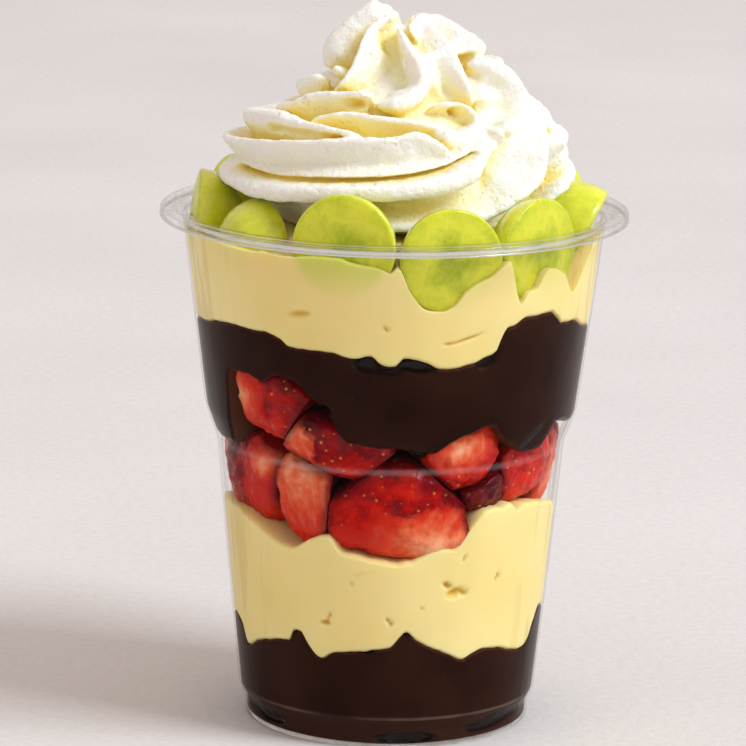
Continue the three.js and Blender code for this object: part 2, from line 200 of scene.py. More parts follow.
# The cup
# One thin shell of clear plastic: a foot ring round a raised floor, a ledge halfway up on which the wider
# upper half stands, and a flat rim with a turned-down lip. A rounded profile is spun about the axis.
WALL = 0.7
FLOOR_HEIGHT = 1.4
FOOT_RADIUS = 30
FOOT_STEP = 6.3
LEDGE_HEIGHT = 60.4
LEDGE_RADIUS = 36.6
MOUTH_RADIUS = 44.5
RIM_RADIUS = 49
RIM_HEIGHT = 108.8
# The wall's looks turn into the rim's between these heights
RIM_START = RIM_HEIGHT - 2.6
RIM_FULL = RIM_HEIGHT - 2
CUP_SIDES = 160
# The share of light that the plastic mirrors, straight on and at a flat angle
WALL_MIRROR = 0.002
RIM_MIRROR = 0.03
BEAD_MIRROR = 0.65
LEDGE_MIRROR = 0.05
FLAT_MIRROR = 0.5
# Radius, height and rounding of each corner of the outside
OUTSIDE = [
    (FOOT_RADIUS, 0.7, 0.3),
    (FOOT_RADIUS, FOOT_STEP - 2.4, 0.6),
    (31.3, FOOT_STEP, 0.8),
    (34.0, 32.5, 0),
    (LEDGE_RADIUS, LEDGE_HEIGHT, 1.0),
    (37.5, 62.5, 1.2),
    (39.1, 67.0, 2.0),
    (42.8, 95.7, 3.0),
    (MOUTH_RADIUS - 0.2, RIM_HEIGHT - WALL, 0.6),
]


def rounded(corners, steps=4):
    """The run of an outline through its corners, each rounded by the distance that it names."""
    run = []
    for i, (radius, height, rounding) in enumerate(corners):
        here = Vector((radius, height))
        if rounding == 0 or i in (0, len(corners) - 1):
            run.append(here)
            continue
        before = Vector(corners[i - 1][:2]) - here
        after = Vector(corners[i + 1][:2]) - here
        start = here + before.normalized() * min(rounding, before.length * 0.48)
        end = here + after.normalized() * min(rounding, after.length * 0.48)
        for k in range(steps + 1):
            share = k / steps
            run.append(start.lerp(here, share).lerp(here.lerp(end, share), share))
    return run


inside = [(radius - WALL, height, rounding) for radius, height, rounding in OUTSIDE]
cup_corners = [
    (0, FLOOR_HEIGHT, 0),
    (FOOT_RADIUS - 5, FLOOR_HEIGHT, 0.5),
    (FOOT_RADIUS - 4.2, 0, 0.4),
    (FOOT_RADIUS - 0.7, 0, 0.3),
    *OUTSIDE,
    (RIM_RADIUS - WALL - 0.2, RIM_HEIGHT - WALL - 0.3, 0.5),
    (RIM_RADIUS - WALL - 0.2, RIM_HEIGHT - 1.5, 0.1),
    (RIM_RADIUS - WALL - 0.35, RIM_HEIGHT - 1.8, 0.3),
    (RIM_RADIUS - 0.3, RIM_HEIGHT - 2.0, 0.3),
    (RIM_RADIUS, RIM_HEIGHT - 1.7, 0.3),
    (RIM_RADIUS - 0.15, RIM_HEIGHT - 1.3, 0.2),
    (RIM_RADIUS - 0.1, RIM_HEIGHT - 0.15, 0.3),
    (RIM_RADIUS - 0.7, RIM_HEIGHT, 0.3),
    (RIM_RADIUS - 1.1, RIM_HEIGHT - 0.25, 0.3),
    (RIM_RADIUS - 2.4, RIM_HEIGHT - 0.25, 0.3),
    (RIM_RADIUS - 2.8, RIM_HEIGHT, 0.25),
    (RIM_RADIUS - 3.3, RIM_HEIGHT, 0.25),
    (RIM_RADIUS - 3.7, RIM_HEIGHT - 0.25, 0.25),
    (MOUTH_RADIUS - 0.6, RIM_HEIGHT - 0.05, 0.4),
    *reversed(inside),
    (FOOT_RADIUS - 3.7, WALL, 0.3),
    (FOOT_RADIUS - 4.5, FLOOR_HEIGHT + WALL, 0.5),
    (0, FLOOR_HEIGHT + WALL, 0),
]


def make_piece(name, points, edges, faces):
    """A new object with a mesh of its own."""
    mesh = bpy.data.meshes.new(name)
    mesh.from_pydata(points, edges, faces)
    piece = bpy.data.objects.new(name, mesh)
    bpy.context.scene.collection.objects.link(piece)
    return piece


def spin_outline(name, run, sides):
    """A closed body turned about the cup's axis from the run of its outline."""
    points = [(point.x * MM, 0, point.y * MM) for point in run]
    piece = make_piece(name, points, [(i, i + 1) for i in range(len(run) - 1)], [])
    bpy.ops.object.select_all(action="DESELECT")
    piece.select_set(True)
    bpy.context.view_layer.objects.active = piece
    bpy.ops.object.mode_set(mode="EDIT")
    bpy.ops.mesh.select_all(action="SELECT")
    bpy.ops.mesh.spin(steps=sides, angle=2 * math.pi, center=(0, 0, 0), axis=(0, 0, 1))
    bpy.ops.mesh.select_all(action="SELECT")
    bpy.ops.mesh.remove_doubles(threshold=0.01 * MM)
    bpy.ops.mesh.normals_make_consistent(inside=False)
    bpy.ops.object.mode_set(mode="OBJECT")
    bpy.ops.object.shade_smooth()
    return piece


cup = spin_outline("clear_cup", rounded(cup_corners), CUP_SIDES)
plastic = bpy.data.materials.new("clear_plastic")
plastic.use_nodes = True
tree = plastic.node_tree
tree.nodes.remove(tree.nodes["Principled BSDF"])
where = object_place(tree)
# It mirrors the room faintly where it is looked at straight, its rim, beads and ledge more, and all of it
# most at a flat angle
height = add_node(tree, "SeparateXYZ", {0: where}).outputs["Z"]
in_rim = climbing(tree, height, RIM_START, RIM_FULL)
straight = climbing(tree, height, RIM_START, RIM_FULL, WALL_MIRROR, RIM_MIRROR)
on_top = climbing(tree, height, RIM_HEIGHT - 0.2, RIM_HEIGHT - 0.05, 0.0, BEAD_MIRROR)
under_lip = climbing(tree, height, RIM_HEIGHT - 1.4, RIM_HEIGHT - 1.6, 0.0, BEAD_MIRROR)
at_lip = joined(tree, "MULTIPLY", under_lip, in_rim)
above_ledge = climbing(tree, height, LEDGE_HEIGHT - 1, LEDGE_HEIGHT - 0.4)
below_ledge = climbing(tree, height, LEDGE_HEIGHT + 0.8, LEDGE_HEIGHT + 0.2, 0.0, LEDGE_MIRROR)
at_ledge = joined(tree, "MULTIPLY", above_ledge, below_ledge)
for shine in (on_top, at_lip, at_ledge):
    straight = joined(tree, "ADD", straight, shine)
drawn = stretched(tree, where, 1, 1, 0.12)
ripples = mottle(tree, drawn, 6, 2)
waviness = climbing(tree, height, RIM_START, RIM_FULL, 1.0, 0.12)
ripple_inputs = {"Height": ripples, "Distance": 0.35 * MM, "Strength": waviness}
wavy = add_node(tree, "Bump", ripple_inputs).outputs["Normal"]
facing = add_node(tree, "LayerWeight", {"Blend": 0.5, "Normal": wavy}).outputs["Facing"]
flat_angle = joined(tree, "POWER", facing, 7.0)
reflects = between(tree, flat_angle, 0, 1, straight, FLAT_MIRROR)
gloss = add_node(tree, "BsdfGlossy", {"Roughness": 0.03, "Normal": wavy}).outputs["BSDF"]
# Seen at a flat angle, the thick rim lets less through
greyness = joined(tree, "MULTIPLY", flat_angle, in_rim)
passes = mixed(tree, greyness, (0.99, 0.99, 0.992), (0.88, 0.88, 0.89))
# Towards its sides the wall draws what stands behind it into upright streaks; they are a painted reflection,
# greyish streaks in what it lets through
upright = stretched(tree, where, 1, 1, 0.02)
painted_streak_lines = between(tree, mottle(tree, upright, 3.0, 2), 0.50, 0.58, 0.0, 0.8)
sideways = between(tree, facing, 0.35, 0.65)
streaks = joined(tree, "MULTIPLY", painted_streak_lines, sideways)
passes = mixed(tree, streaks, passes, (0.86, 0.84, 0.80))
clear = add_node(tree, "BsdfTransparent", {"Color": passes}).outputs["BSDF"]
either = add_node(tree, "MixShader", {0: reflects, 1: clear, 2: gloss})
tree.links.new(either.outputs["Shader"], tree.nodes["Material Output"].inputs["Surface"])
cup.data.materials.append(plastic)
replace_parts(cup, "cup")
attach(cup, "root")

# The lower chocolate cream
# A dark set cream, spooned in first: it fills the foot but for a few hollows under the shoulder, and the
# custard above it hangs down into it in lobes. It lies against the wall, so it takes the wall's form.
FILLING_SIDES = 360
SIDE_FROM = 0.16
SIDE_TO = 0.84
EDGE_STEPS = 4
EDGE_WIDTH = 0.7
EDGE_ROUNDING = 1.6
ROW_CROWDING = 0.10
NEAR_WALL = 4
FADE_START = 12
FADE_END = 32


def wall_radius(height):
    """The inside of the wall at a height, between the corners of its outline."""
    for (low_radius, low, _), (high_radius, high, _) in zip(inside, inside[1:]):
        if height <= high or (high_radius, high) == inside[-1][:2]:
            share = max(0, (height - low) / (high - low))
            return low_radius + (high_radius - low_radius) * share


def turned_from(angle, other):
    """How far an angle lies past another one, from -180 to 180."""
    return (angle - other + 180) % 360 - 180


def meeting(level, *edge, ripple=0.0, seed=0):
    """The height of a meeting of two fillings, round the cup and inwards.

    It runs smoothly through the places of its edge at the wall, each an angle and a height, and turns
    level only where they do. Fine ripples are added. Inside the cup it evens out to one level.
    """
    angles = [angle for angle, _ in edge]
    heights = [height for _, height in edge]
    angles.append(angles[0] + 360)
    heights.append(heights[0])
    count = len(edge)
    rises = [(heights[i + 1] - heights[i]) / (angles[i + 1] - angles[i]) for i in range(count)]
    slopes = []
    for i in range(count):
        before, after = rises[i - 1], rises[i]
        slopes.append(0 if before * after <= 0 else 2 * before * after / (before + after))
    slopes.append(slopes[0])
    run = []
    for step in range(360 * EDGE_STEPS):
        angle = angles[0] + step / EDGE_STEPS
        i = max(k for k in range(count) if angles[k] <= angle)
        width = angles[i + 1] - angles[i]
        u = (angle - angles[i]) / width
        rise = heights[i + 1] - heights[i]
        bend = 3 * rise - width * (2 * slopes[i] + slopes[i + 1])
        twist = width * (slopes[i] + slopes[i + 1]) - 2 * rise
        turn = math.radians(angle)
        ring = Vector((math.cos(turn), math.sin(turn), seed))
        ripples = ripple * (noise.noise(ring * 9) + 0.6 * noise.noise(ring * 26))
        run.append(heights[i] + width * slopes[i] * u + bend * u * u + twist * u**3 + ripples)

    def height(angle, radius):
        at = (angle - angles[0]) % 360 * EDGE_STEPS
        i = int(at)
        edge = run[i % len(run)] * (1 - at + i) + run[(i + 1) % len(run)] * (at - i)
        share = smooth_step(radius, FADE_START, FADE_END)
        return level + (edge - level) * share

    return height


def smooth_step(value, low, high):
    """0 up to low, 1 from high on, and a smooth rise between them."""
    share = min(1, max(0, (value - low) / (high - low)))
    return share * share * (3 - 2 * share)


def hollow_depth(angle, height, hollows):
    """How far hollows pull a filling in from the wall.

    Each has its angle, its height, how wide and how tall it is in millimetres, its depth, how far it is
    turned and how sharp its rim is, from 0 to 1.
    """
    depth = 0
    for at, level, wide, tall, deep, turn, sharp in hollows:
        across = math.radians(turned_from(angle, at)) * wall_radius(level)
        up = height - level
        if abs(across) > wide + tall or abs(up) > wide + tall:
            continue
        cosine, sine = math.cos(math.radians(turn)), math.sin(math.radians(turn))
        along = (across * cosine + up * sine) / wide
        aside = (up * cosine - across * sine) / tall
        depth = max(depth, deep * (1 - smooth_step(math.hypot(along, aside), sharp, 1)))
    return depth


def angle_of(x, y):
    """The angle round the cup of a point."""
    return math.degrees(math.atan2(x, -y))


def make_ball(name, sides, rings):
    """A ball of radius 1, whose points are then moved to make a piece."""
    bpy.ops.object.select_all(action="DESELECT")
    bpy.ops.mesh.primitive_uv_sphere_add(segments=sides, ring_count=rings, radius=1)
    ball = bpy.context.active_object
    ball.name = name
    return ball


def face_outwards():
    """Turns all faces of the active piece outwards."""
    bpy.ops.object.mode_set(mode="EDIT")
    bpy.ops.mesh.select_all(action="SELECT")
    bpy.ops.mesh.normals_make_consistent(inside=False)
    bpy.ops.object.mode_set(mode="OBJECT")


def lay_filling(name, bottom, top, rows, sink, lifts, hollows):
    """A filling between two meetings: a sphere's rings are laid along its bottom, up the wall and back.

    It sinks that far into the wall, so that no gap shows, and its edges lift off the wall by lifts.
    """
    filling = make_ball(name, FILLING_SIDES, rows)
    for vertex in filling.data.vertices:
        x, y, z = vertex.co
        share = 0.5 + math.asin(max(-1, min(1, z))) / math.pi
        angle = angle_of(x, y)
        if share < SIDE_FROM or share > SIDE_TO:
            meets = bottom if share < 0.5 else top
            inwards = share / SIDE_FROM if share < 0.5 else (1 - share) / (1 - SIDE_TO)
            lift = lifts[0] if share < 0.5 else lifts[1]
            radius = (wall_radius(meets(angle, RIM_RADIUS)) - lift) * min(1, max(0, inwards))
            vertex.co = place(angle, radius, meets(angle, radius))
            continue
        climb = (share - SIDE_FROM) / (SIDE_TO - SIDE_FROM)
        low, high = bottom(angle, RIM_RADIUS), top(angle, RIM_RADIUS)
        # Rows lie closer together at both edges, where the filling rounds off
        climb += ROW_CROWDING * math.sin(2 * math.pi * (climb - 0.5)) * (1 if climb > 0 else 0)
        height = low + (high - low) * climb
        radius = wall_radius(height) + sink - hollow_depth(angle, height, hollows)
        for edge, lift in ((low, lifts[0]), (high, lifts[1])):
            near = max(0, 1 - abs(height - edge) / (EDGE_ROUNDING * lift + 0.01))
            radius -= (lift + sink) * near * near
        vertex.co = place(angle, radius, height)
    face_outwards()
    bpy.ops.object.shade_smooth()
    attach(filling, "root")
    return filling


def cup_floor(angle, radius):
    """The cup's raised floor and the ring round it, from above."""
    return FLOOR_HEIGHT + WALL - 0.1 if radius < FOOT_RADIUS - 4.2 else WALL + 0.2


# The custard above hangs into it in rounded lobes, and it rises in narrow points between them
first_meeting = meeting(
    20.6,
    (-78, 22.5), (-70, 21.0), (-66, 17.4), (-62, 18.2), (-56, 19.9), (-45, 21.1), (-39, 21.8), (-36.5, 24.3),
    (-33.5, 24.0), (-31, 21.7), (-28, 19.5), (-25, 18.9), (-21, 20.3), (-14, 20.9), (-5, 21.6), (1, 22.2),
    (4, 24.2), (7, 25.7), (10, 24.2), (15, 22.3), (21, 20.7), (29, 19.0), (34, 19.9), (40, 20.4),
    (46, 20.0), (54, 18.7), (61, 18.1), (66, 19.3), (69, 22.2), (75, 25.4), (84, 24.6), (100, 20.2),
    (115, 21.8), (130, 18.6), (148, 21.4), (160, 19.6), (175, 22.0), (190, 18.2), (207, 21.6), (222, 20.0),
    (236, 22.4), (250, 18.8), (268, 21.4),
    ripple=0.3,
    seed=1,
)
FOOT_HOLLOWS = [
    (-62, 3.2, 9, 1.6, 1.6, -4, 0.7),
    (8, 2.0, 7, 1.5, 1.6, 0, 0.7),
    (52, 3.4, 10, 1.5, 1.4, 5, 0.7),
    (120, 2.8, 11, 1.6, 1.5, 0, 0.7),
    (175, 2.6, 8, 1.5, 1.5, 4, 0.7),
    (228, 3.0, 12, 1.6, 1.5, -3, 0.7),
    (-8, 21.2, 2.2, 0.45, 1.2, 4, 0.4),
    (7, 25.2, 1.6, 0.6, 1.4, 0, 0.4),
    (-36, 24.1, 0.7, 0.5, 1.0, 0, 0.4),
    (23, 19.9, 0.5, 0.3, 0.8, 0, 0.4),
    (-25, 15.1, 1.0, 0.35, 0.5, 25, 0.3),
    (23, 15.6, 0.3, 0.9, 0.5, 0, 0.3),
]
lower_chocolate = lay_filling(
    "lower_chocolate_cream", cup_floor, first_meeting, 84, 0.25, (0.3, 0.3), FOOT_HOLLOWS
)


def add_marks(piece, *names, kind="FLOAT"):
    """New attributes of a piece's points, for its material to read."""
    for name in names:
        piece.data.attributes.new(name, kind, "POINT")
    return [piece.data.attributes[name] for name in names]


def mark_filling(filling, bottom, top, hollows):
    """Writes how deep in a hollow and how near an edge each point of a filling lies, from 0 to 1."""
    depths, edges = add_marks(filling, "hollow", "edge")
    for vertex in filling.data.vertices:
        x, y, z = vertex.co / MM
        angle = angle_of(x, y)
        near = min(abs(z - bottom(angle, RIM_RADIUS)), abs(z - top(angle, RIM_RADIUS)))
        edges.data[vertex.index].value = max(0, 1 - near / EDGE_WIDTH)
        if wall_radius(z) - math.hypot(x, y) < NEAR_WALL:
            depths.data[vertex.index].value = min(1, hollow_depth(angle, z, hollows))


mark_filling(lower_chocolate, cup_floor, first_meeting, FOOT_HOLLOWS)
# Where it touches the wall it has no gloss of its own, and in the hollows it is wet and darkened by painted
# shade
chocolate, tree, shader = start_material(
    "chocolate_cream", Roughness=0.3, IOR=1.45, Specular_IOR_Level=0.04, Coat_Roughness=0.08
)
where = object_place(tree)
depth = marked(tree, "hollow")
edge = marked(tree, "edge")
swirl = mottle(tree, where, 14, 3, 0.55)
brown = ramp(tree, swirl, (0.32, (0.015, 0.0040, 0.0022)), (0.68, (0.030, 0.0092, 0.0052)))
thinner = between(tree, edge, 0.35, 1.0, 0.0, 0.85)
brown = mixed(tree, thinner, brown, (0.085, 0.024, 0.010))
# Below the wall's step it is a lighter brown, and a painted highlight runs along the step's edge in places
height = add_node(tree, "SeparateXYZ", {0: where}).outputs["Z"]
in_foot = climbing(tree, height, FOOT_STEP + 0.2, FOOT_STEP - 0.2, 0.0, 0.6)
brown = mixed(tree, in_foot, brown, (0.044, 0.017, 0.011))
over_step = climbing(tree, height, FOOT_STEP - 0.1, FOOT_STEP + 0.1)
under_edge = climbing(tree, height, FOOT_STEP + 0.8, FOOT_STEP + 0.4)
painted_step_highlight = joined(tree, "MULTIPLY", over_step, under_edge)
broken = between(tree, swirl, 0.40, 0.60, 0.15, 0.8)
painted_step_highlight = joined(tree, "MULTIPLY", painted_step_highlight, broken)
brown = mixed(tree, painted_step_highlight, brown, (0.13, 0.085, 0.070))
# Painted shade: the colour is darkened in the hollows
tree.links.new(mixed(tree, depth, brown, (0.010, 0.0045, 0.004)), shader.inputs["Base Color"])
tree.links.new(between(tree, depth, 0.1, 1, 0, 0.3), shader.inputs["Coat Weight"])
relief(tree, shader, mottle(tree, where, 4, 3), 0.15, 0.6)
lower_chocolate.data.materials.append(chocolate)
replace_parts(lower_chocolate, "lower_chocolate")

# The lower custard
# A thick set custard, spooned on in a few heaps that have run together: small three-cornered hollows are
# left where they met, and the strawberries have sunk into it from above.
second_meeting = meeting(
    45.5,
    (-84, 47.8), (-66, 47.6), (-59, 46.4), (-47, 44.2), (-42, 42.6), (-37, 42.3), (-29, 44.4), (-24, 45.7),
    (-21, 45.9), (-17, 43.0), (-12, 42.2), (-5, 41.1), (2, 40.5), (8, 41.0), (14, 42.9), (18, 43.6),
    (23, 43.4), (27, 46.2), (31, 49.1), (35, 50.9), (41, 51.0), (46, 51.5), (49, 50.0), (53, 50.6),
    (62, 50.1), (76, 48.4), (90, 45.5), (104, 43.2), (118, 44.5), (132, 41.5), (147, 44.6), (162, 45.8),
    (177, 43.0), (192, 42.0), (207, 44.0), (222, 45.2), (236, 43.6), (250, 42.8), (262, 45.6),
    ripple=0.35,
    seed=2,
)
CUSTARD_HOLLOWS = [
    (-23, 27.0, 1.6, 0.7, 1.1, 0, 0.2),
    (-21.5, 28.4, 1.5, 0.35, 0.9, 70, 0.2),
    (0.5, 28.0, 1.5, 0.4, 0.9, -62, 0.2),
    (21, 35.6, 1.2, 0.9, 1.3, -30, 0.2),
    (24, 33.9, 2.6, 1.3, 1.2, 18, 0.2),
    (27.5, 33.7, 1.4, 0.6, 1.5, 0, 0.2),
    (42, 36.6, 0.9, 0.45, 0.9, 50, 0.2),
    (41, 35.6, 0.5, 0.3, 0.7, 20, 0.2),
    (12, 30.8, 0.3, 0.3, 0.5, 0, 0.2),
    (27, 41.2, 2.2, 0.30, 0.7, -72, 0.1),
    (-13, 36.0, 1.9, 0.15, 0.35, 80, 0.1),
    (-9, 38.2, 3.2, 0.15, 0.35, 14, 0.1),
    (110, 33, 2.0, 0.9, 1.2, 30, 0.2),
    (150, 28, 1.6, 0.8, 1.1, -20, 0.2),
    (205, 35, 2.4, 0.9, 1.2, 12, 0.2),
    (250, 30, 1.4, 0.8, 1.0, 50, 0.2),
]
lower_custard = lay_filling(
    "lower_custard_cream", first_meeting, second_meeting, 100, 0.22, (0.45, 0.5), CUSTARD_HOLLOWS
)
custard, tree, shader = start_material(
    "custard",
    Roughness=0.4,
    IOR=1.42,
    Specular_IOR_Level=0.3,
    Subsurface_Weight=0.6,
    Subsurface_Radius=(1.0, 0.66, 0.28),
    Subsurface_Scale=0.003,
)
where = object_place(tree)
clouds = mottle(tree, where, 24, 2)
yellow = ramp(tree, clouds, (0.30, (0.87, 0.70, 0.265)), (0.70, (0.91, 0.765, 0.34)))
# Where it lies in a hollow, away from the wall, light comes back through it and it looks yellower
depth = marked(tree, "hollow")
yellow = mixed(tree, depth, yellow, (0.80, 0.50, 0.055))
# Over a grape's cut face it is thin, and the green shines through
green = marked(tree, "green")
tree.links.new(mixed(tree, green, yellow, (0.60, 0.66, 0.10)), shader.inputs["Base Color"])
relief(tree, shader, mottle(tree, where, 3.4, 3), 0.05, 0.35)
mark_filling(lower_custard, first_meeting, second_meeting, CUSTARD_HOLLOWS)
lower_custard.data.materials.append(custard)
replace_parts(lower_custard, "lower_custard")

# The strawberries
# Cut pieces of ripe fruit, pressed against the wall and against each other. A piece shows dark skin with
# seeds, and a cut face that is orange-red and pales with white veins to its middle. All of them are wet.
GAP = 0.3
NEIGHBOUR_GAP = 3
CREVICE_SHADE_WIDTH = 2.2
TIP_NARROWS = 0.35
BOXINESS = 3.0
LUMPS = 0.9
PRESSED_IN = 0.12
STANDS_OFF = 1.3
SEED_SPACING = 2.1
BERRY_RINGS = 72
INNER_RINGS = 24


def chunk(angle, radius, height, across, deep, tall, roll=0.0, dark=0.5, skin=(1, 0, 2), pale=(0, 0, 0)):
    """A piece by its middle, its size, its roll and how dark it is. Skin is the way to its skin side,
    across and up, and where that starts, from -1 to 1. Pale is where it is palest and how far around."""
    size = (across / 2, deep / 2, tall / 2)
    middle = place(angle, radius, height) / MM
    looks = dict(dark=dark, skin=skin, pale=pale)
    return dict(angle=angle, radius=radius, middle=middle, size=size, roll=roll, **looks)


CHUNKS = [
    chunk(-43, 30.5, 72.5, 22, 17, 15.5, -12, 0.45, (1, 0.15, 0.05), (-0.7, -0.1, 0.35)),
    chunk(-21, 28.5, 64.5, 27, 17, 12.5, -14, 0.50, (1, 0.3, -0.2), (-0.85, 0.1, 0.55)),
    chunk(-31, 27.5, 52.5, 15, 15, 21, 12, 0.20, (-0.7, -0.8, 0.75), (0.1, 0.6, 0.75)),
    chunk(-63, 26, 54.5, 24, 17, 20, 8, 0.50, (-1, 0.3, -0.1), (0.7, 0.3, 0.2)),
    chunk(3, 26, 50.8, 34, 19, 21, -10, 0.30, (-0.55, 0.85, 0.0), (0.6, -0.55, 0.5)),
    chunk(26.5, 28.5, 62.6, 17, 15, 15, 10, 0.35, (0.2, -1, 0.35), (-0.1, 0.3, 0.42)),
    chunk(35, 27, 54.6, 15, 15, 9, 0, 0.95, (0, 1, -1.5)),
    chunk(57, 27, 57.8, 22, 16, 16, 6, 0.18, (0, 1, -1.5)),
    chunk(92, 26, 55.5, 24, 17, 20, -8, 0.50, (0.5, 0.6, 0.1), (-0.3, -0.3, 0.5)),
    chunk(121, 27, 63.5, 23, 17, 15, 10, 0.40, (1, 0.2, 0.0), (-0.5, 0.0, 0.6)),
    chunk(126, 26, 50.5, 23, 17, 16, -12, 0.60, (-0.4, 0.8, 0.0)),
    chunk(158, 26, 57.5, 22, 17, 20, 6, 0.30, (-0.7, 0.5, 0.4), (0.1, 0.3, 0.7)),
    chunk(187, 27, 63.5, 22, 17, 17, -10, 0.60, (0.8, 0.4, 0.0)),
    chunk(192, 26, 49.5, 22, 17, 16, 12, 0.40, (-1, 0.2, 0.2), (0.4, -0.2, 0.5)),
    chunk(222, 26, 56.5, 22, 17, 20, 0, 0.50, (0.3, -0.9, 0.3), (-0.2, 0.4, 0.6)),
    chunk(254, 26, 53.5, 22, 17, 19, -8, 0.45, (-0.8, 0.5, 0.1), (0.2, -0.1, 0.4)),
    chunk(20, 9, 56.5, 22, 18, 21, 20, 0.7),
    chunk(145, 10, 56, 22, 18, 20, -15, 0.7),
    chunk(262, 10, 57, 22, 19, 21, 10, 0.7),
]


def chunk_axes(piece):
    """The directions round the cup, outwards and up of a piece, which is rolled about the outward one."""
    outwards = place(piece["angle"], 1, 0) / MM
    turn = Matrix.Rotation(math.radians(piece["roll"]), 3, outwards)
    return turn @ (place(piece["angle"] + 90, 1, 0) / MM), outwards, turn @ Vector((0, 0, 1))


def chunk_reach(piece, direction):
    """How far a piece reaches from its middle along a direction."""
    reach = [axis.dot(direction) * half for axis, half in zip(chunk_axes(piece), piece["size"])]
    return math.hypot(*reach) * (1 + TIP_NARROWS / 4)


def planes_between(pieces):
    """For each piece, the planes midway between it and the pieces that it would overlap."""
    middles = [piece["middle"] for piece in pieces]
    planes = [[] for _ in pieces]
    for i, first in enumerate(pieces):
        for j in range(i + 1, len(pieces)):
            apart = middles[j] - middles[i]
            towards = apart.normalized()
            first_end = chunk_reach(first, towards)
            second_start = apart.length - chunk_reach(pieces[j], towards)
            if first_end > second_start - NEIGHBOUR_GAP:
                middle = middles[i].dot(towards) + (first_end + second_start) / 2
                planes[i].append((towards, middle - GAP / 2))
                planes[j].append((-towards, -middle - GAP / 2))
    return planes


berry_look, tree, shader = start_material(
    "strawberry",
    Roughness=0.3,
    IOR=1.4,
    Specular_IOR_Level=0.06,
    Subsurface_Weight=0.25,
    Subsurface_Radius=(1.0, 0.12, 0.05),
    Subsurface_Scale=0.002,
    Coat_Roughness=0.05,
)
where = object_place(tree)
own = add_node(tree, "Attribute", attribute_name="own").outputs["Vector"]
darkness = marked(tree, "dark")
paleness = marked(tree, "pale")
skinned = marked(tree, "skin")
patches = mottle(tree, where, 4.5, 5, 0.68)
uneven = between(tree, patches, 0.3, 0.7, -0.36, 0.36)
# The skin, from red to nearly black crimson, with seeds in small dimples
skin_darkness = joined(tree, "ADD", darkness, uneven)
skin = ramp(
    tree,
    skin_darkness,
    (0.08, (0.62, 0.018, 0.006)),
    (0.32, (0.46, 0.007, 0.005)),
    (0.60, (0.22, 0.003, 0.006)),
    (1.00, (0.060, 0.001, 0.004)),
)
seed_inputs = {"Vector": where, "Scale": 1 / (SEED_SPACING * MM), "Randomness": 0.8}
seeds = add_node(tree, "TexVoronoi", seed_inputs).outputs["Distance"]
seed_spot = between(tree, seeds, 0.11, 0.16, 0.8, 0.0)
skin = mixed(tree, seed_spot, skin, (0.62, 0.33, 0.06))
# The cut flesh, pale where the core was, with veins that run out from it to the skin
drawn = stretched(tree, own, 6.0, 6.0, 2.2)
vein_inputs = {"Vector": drawn, "Scale": 1.0, "Detail": 4.0, "Roughness": 0.6}
veins = add_node(tree, "TexNoise", vein_inputs).outputs["Fac"]
core = joined(tree, "MULTIPLY_ADD", paleness, uneven, paleness)
flesh = ramp(
    tree,
    core,
    (0.00, (0.56, 0.014, 0.006)),
    (0.35, (0.68, 0.040, 0.012)),
    (0.65, (0.80, 0.13, 0.045)),
    (1.00, (0.87, 0.40, 0.22)),
)
streaks = between(tree, veins, 0.45, 0.75, 0.0, 0.55)
streaked = joined(tree, "MULTIPLY", streaks, between(tree, core, 0.02, 0.5))
flesh = mixed(tree, streaked, flesh, (0.90, 0.40, 0.22))
border = joined(tree, "ADD", skinned, uneven)
either = mixed(tree, between(tree, border, 0.35, 0.65), flesh, skin)
# Painted shade darkens the gaps between the pieces
painted_crevice_shade = marked(tree, "painted_crevice_shade")
tree.links.new(mixed(tree, painted_crevice_shade, either, (0.11, 0.002, 0.004)), shader.inputs["Base Color"])
pits = between(tree, seeds, 0.08, 0.36)
dimples = mixed(tree, skinned, veins, pits)
lumpy = mixed(tree, 0.6, dimples, mottle(tree, where, 1.8, 4, 0.6))
relief(tree, shader, lumpy, 0.75, 0.8)
# It is glossy with juice where it stands off the wall
wetness = marked(tree, "wet")
tree.links.new(between(tree, wetness, 0, 1, 0.0, 0.22), shader.inputs["Coat Weight"])


